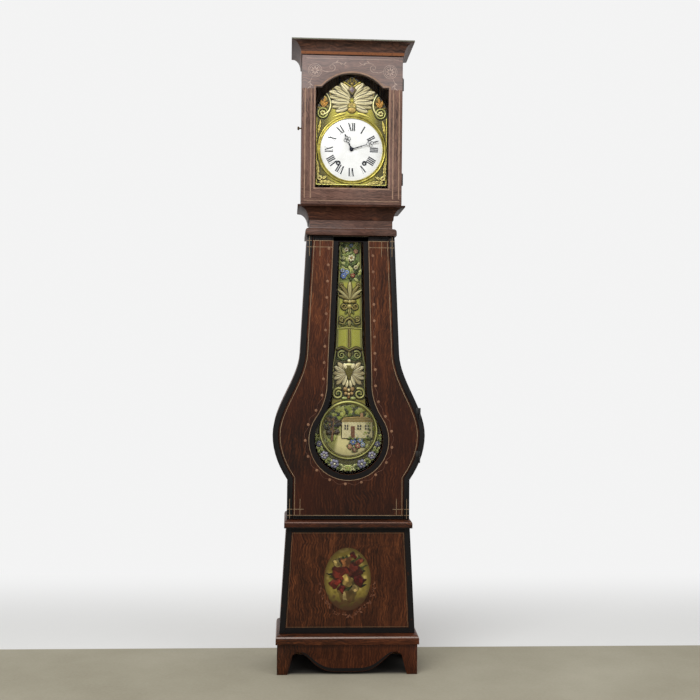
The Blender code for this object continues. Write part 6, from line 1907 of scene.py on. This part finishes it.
def garland(sheet):
    below = np.hypot(sheet.x, sheet.z - MEDAL_Z) > MEDAL_RADIUS
    sheet.wash(np.where(below & (sheet.z < 960), 0.9, 0.0), (60, 60, 30), 0.2)
    sheet.ring((0, MEDAL_Z), MEDAL_RADIUS, 4.8, 7.5, (178, 176, 104), 0.5)
    sheet.ring((0, MEDAL_Z), MEDAL_RADIUS - 6.8, 1.6, 4.0, (140, 132, 70), 0.5)
    on_ring = np.abs(np.hypot(sheet.x, sheet.z - MEDAL_Z) - MEDAL_RADIUS) < 9
    sheet.wash(np.where(on_ring, np.clip((MEDAL_Z - sheet.z) / 70, 0, 1) * 0.7, 0.0), (92, 88, 44))
    for k in range(13):
        t = math.radians(-90 + k * 7.6)
        place = (115.0 * math.cos(t), BOB_Z + 3 + 115.0 * math.sin(t))
        for way in (-50, 40, 130, 220):
            tone = ((92, 102, 48), (150, 154, 82), (200, 198, 138))[(k + way // 10) % 3]
            sheet.leaf(place, math.degrees(t) + way, 20, 10, 4.6, tone, 0.1, 0, 0.15)
    blooms = ((-63, 18, (112, 110, 130)), (-37, 16, (134, 130, 146)), (-13, 12, (96, 94, 116)))
    for angle, size, colour in blooms:
        t = math.radians(angle)
        place = (112.0 * math.cos(t), BOB_Z + 4 + 112.0 * math.sin(t))
        sheet.flower(place, size, 6, 7.0, colour, (206, 200, 170), 0.1)
    sheet.flower((0, BOB_Z - 111), 12, 7, 6.6, (150, 160, 84), (206, 190, 120), 0.2)


def pendulum_design(x, z):
    sheet = Emboss(x, z, OLIVE, 0.35)
    half = np.array([pendulum_half(value) for value in z[:, 0]])[:, None] * np.ones_like(x)
    strip_ornament(sheet, half)
    shell_ornament(sheet)
    medallion_scene(sheet)
    garland(sheet)
    sheet.grime_and_painted_light()
    return sheet


pendulum_ground = plate_box_low.y + 0.0012
pendulum_depth = plate_box_high.y - pendulum_ground
for name, low, high, columns, rows in (
    ("pendulum_strip", STRIP_SEAM, STRIP_TOP, 96, 520),
    ("pendulum_medallion", BOB_BOTTOM, STRIP_SEAM, 200, 220),
):
    span = (low, high, columns, rows)
    sheet = pressed_sheet(name, pendulum_half, *span, pendulum_design, pendulum_ground, pendulum_depth)
    settle(sheet, pressed_brass, "pendulum", "brass", "pendulum_plate")

# %% [markdown]
# ## The oval picture on the base
# An oval still life is painted on the base panel: dark red and pale roses with green leaves in a bowl on a
# yellow ground, and a faint wreath of leaves round its lower half. The paint is a little thicker on the
# petals, so the same canvas serves, almost flat.

# %% The oval picture on the base
OVAL_X = -1.0
OVAL_Z = 346.0
OVAL_HALF = 86.0
OVAL_TALL = 116.0
PICTURE_RISE = 0.0006


def oval_half(z):
    return max(0.5, OVAL_HALF * math.sqrt(max(0.0, 1 - ((z - OVAL_Z) / OVAL_TALL) ** 2)))


def oval_design(x, z):
    sheet = Emboss(x, z, (158, 138, 62), 0.0)
    up = (z - OVAL_Z) / OVAL_TALL
    rim = np.hypot(x / OVAL_HALF, up)
    brush = np.random.default_rng(11)
    strokes = np.zeros_like(x)
    for _ in range(14):
        turn, pitch = brush.uniform(0, math.pi), brush.uniform(0.10, 0.42)
        along = pitch * (x * math.cos(turn) + z * math.sin(turn)) + brush.uniform(0, 6.3)
        strokes += np.sin(along + 1.6 * np.sin(x * 0.05 + z * 0.03))
    strokes /= 4.0
    sheet.wash(0.3 + up * 0.5 + strokes * 0.25, (112, 98, 44))
    sheet.wash(strokes * 0.8 - 0.2, (186, 166, 92))
    sheet.wash(np.clip((-up - 0.42 + strokes * 0.12) * 4, 0, 1) * 0.85, (96, 78, 40))
    sheet.x = x + 4.0 * np.sin(z / 9.0 + x / 23.0) + 2.0 * np.sin(z / 4.3)
    sheet.z = z + 4.0 * np.sin(x / 8.0 - z / 19.0) + 2.0 * np.sin(x / 3.9)
    for k in range(90):
        t = brush.uniform(0, 2 * math.pi)
        r = brush.uniform(6, 62)
        place = (r * math.cos(t) * 0.9, OVAL_Z + 18 + r * math.sin(t))
        shade = ((40, 50, 26), (62, 70, 34), (28, 34, 20), (92, 90, 44))[k % 4]
        lean, length, width = brush.uniform(0, 360), brush.uniform(20, 42), brush.uniform(9, 17)
        sheet.leaf(place, lean, length, width, 0.35, shade, 0.1, 0, 0.0, False)
    bowl = ((sheet.x / 34) ** 2 + ((sheet.z - OVAL_Z + 50) / 34) ** 2 < 1) & (sheet.z < OVAL_Z - 42)
    sheet.slab(bowl, 0.55, (104, 82, 44), 0.0)
    sheet.slab(bowl & (np.abs(sheet.x + 12) < 7), 0.6, (168, 146, 92), 0.0)
    roses = (
        (-28, 24, 29, (110, 42, 30)), (26, 34, 26, (90, 38, 28)), (2, -4, 24, (168, 140, 76)),
        (-44, -14, 19, (124, 44, 32)), (44, -6, 20, (84, 26, 22)), (-4, 62, 22, (130, 84, 48)),
        (44, 66, 13, (128, 60, 40)), (-42, 58, 15, (176, 152, 88)), (16, 86, 12, (92, 30, 24)),
        (-20, -36, 13, (100, 34, 28)), (24, -36, 13, (176, 150, 92)),
    )
    for cx, cz, size, colour in roses:
        for k, share in enumerate((1.0, 0.82, 0.62, 0.42, 0.24)):
            tone = tuple(min(255, int(part * (0.6, 1.0, 0.72, 1.25, 0.85)[k])) for part in colour)
            dx = sheet.x - cx - 0.12 * k * size * math.cos(2.2 * k + cx)
            dz = sheet.z - OVAL_Z - cz - 0.12 * k * size * math.sin(2.2 * k + cx)
            edge = size * share * (1 + 0.16 * np.cos(4 * np.arctan2(dz, dx) + 2.4 * k + cx))
            far = np.hypot(dx, dz) / edge
            sheet.slab(far < 1, 0.55 + 0.16 * k + 0.25 * (1 - far**2), tone, 0.0)
    sheet.tint *= 0.73 * np.clip(1 + 0.30 * strokes, 0.5, 1.5)[..., None]
    sheet.wash(np.clip((rim - 0.80 + strokes * 0.05) / 0.2, 0, 1) * 0.75, (62, 42, 24))
    sheet.wash(np.clip((-up - 0.62 + strokes * 0.14) * 5, 0, 1) * 0.7, (66, 38, 24))
    return sheet


def oil_paint(name):
    finish = Finish(name)
    place = finish.place()
    hue = finish.own("paint", "Color")
    dirt = finish.own("soil", "Fac")
    cloud = finish.noise(place, 40.0, 4.0, 0.65)
    crackle = finish.noise(place, 420.0, 3.0, 0.6)
    colour = finish.mixed(hue, paint(88, 58, 34), (cloud * 0.6 + crackle * 0.4).rising(0.46, 0.8) * 0.6)
    colour = finish.mixed(colour, paint(24, 16, 12), dirt.rising(0.02, 0.4) * 0.6)
    relief = finish.bump(crackle, 0.25, 0.0005)
    return finish.surface(
        base_color=colour,
        roughness=0.42 + crackle * 0.2,
        normal=relief,
        coat_weight=0.05,
        specular_ior_level=0.2,
    )


span = (OVAL_Z - OVAL_TALL, OVAL_Z + OVAL_TALL, 120, 160)
picture = pressed_sheet(
    "oval_picture", oval_half, *span, oval_design, panel_front - PICTURE_RISE, PICTURE_RISE
)
picture.data.transform(Matrix.Translation((OVAL_X * 0.001, 0.0, 0.0)))
settle(picture, oil_paint("oval_oil_paint"), "case", "grained_wood")

wreath = []
sprig = np.random.default_rng(21)
for k in range(30):
    t = math.radians(186 + 168 * (k + sprig.uniform(0.1, 0.9)) / 30)
    out = sprig.uniform(5, 16)
    root = np.array([OVAL_X + (OVAL_HALF + out) * math.cos(t), OVAL_Z + (OVAL_TALL + out) * math.sin(t)])
    lean = t + math.radians(sprig.uniform(30, 100) * (1 if k % 2 else -1))
    tip = root + sprig.uniform(12, 24) * np.array([math.cos(lean), math.sin(lean)])
    bow = (root + tip) / 2 + 3.0 * np.array([math.cos(t), math.sin(t)])
    path = bent_path([root * 0.001, bow * 0.001, tip * 0.001], 8)
    wreath.append(stroke("wreath_leaf", path, (0.001, sprig.uniform(0.005, 0.009), 0.0008), panel_front))
wreath_tint = line_paint("wreath_paint", paint(118, 76, 54), paint(74, 40, 28), 0.34)
settle(join("oval_wreath", wreath), wreath_tint, "case", "grained_wood")
print("oval picture and wreath painted")

# %% [markdown]
# ## Close
# The dressed clock has to stay inside the box of the bare frame, give or take a finger's width.

# %% Close
bpy.ops.object.select_all(action="DESELECT")
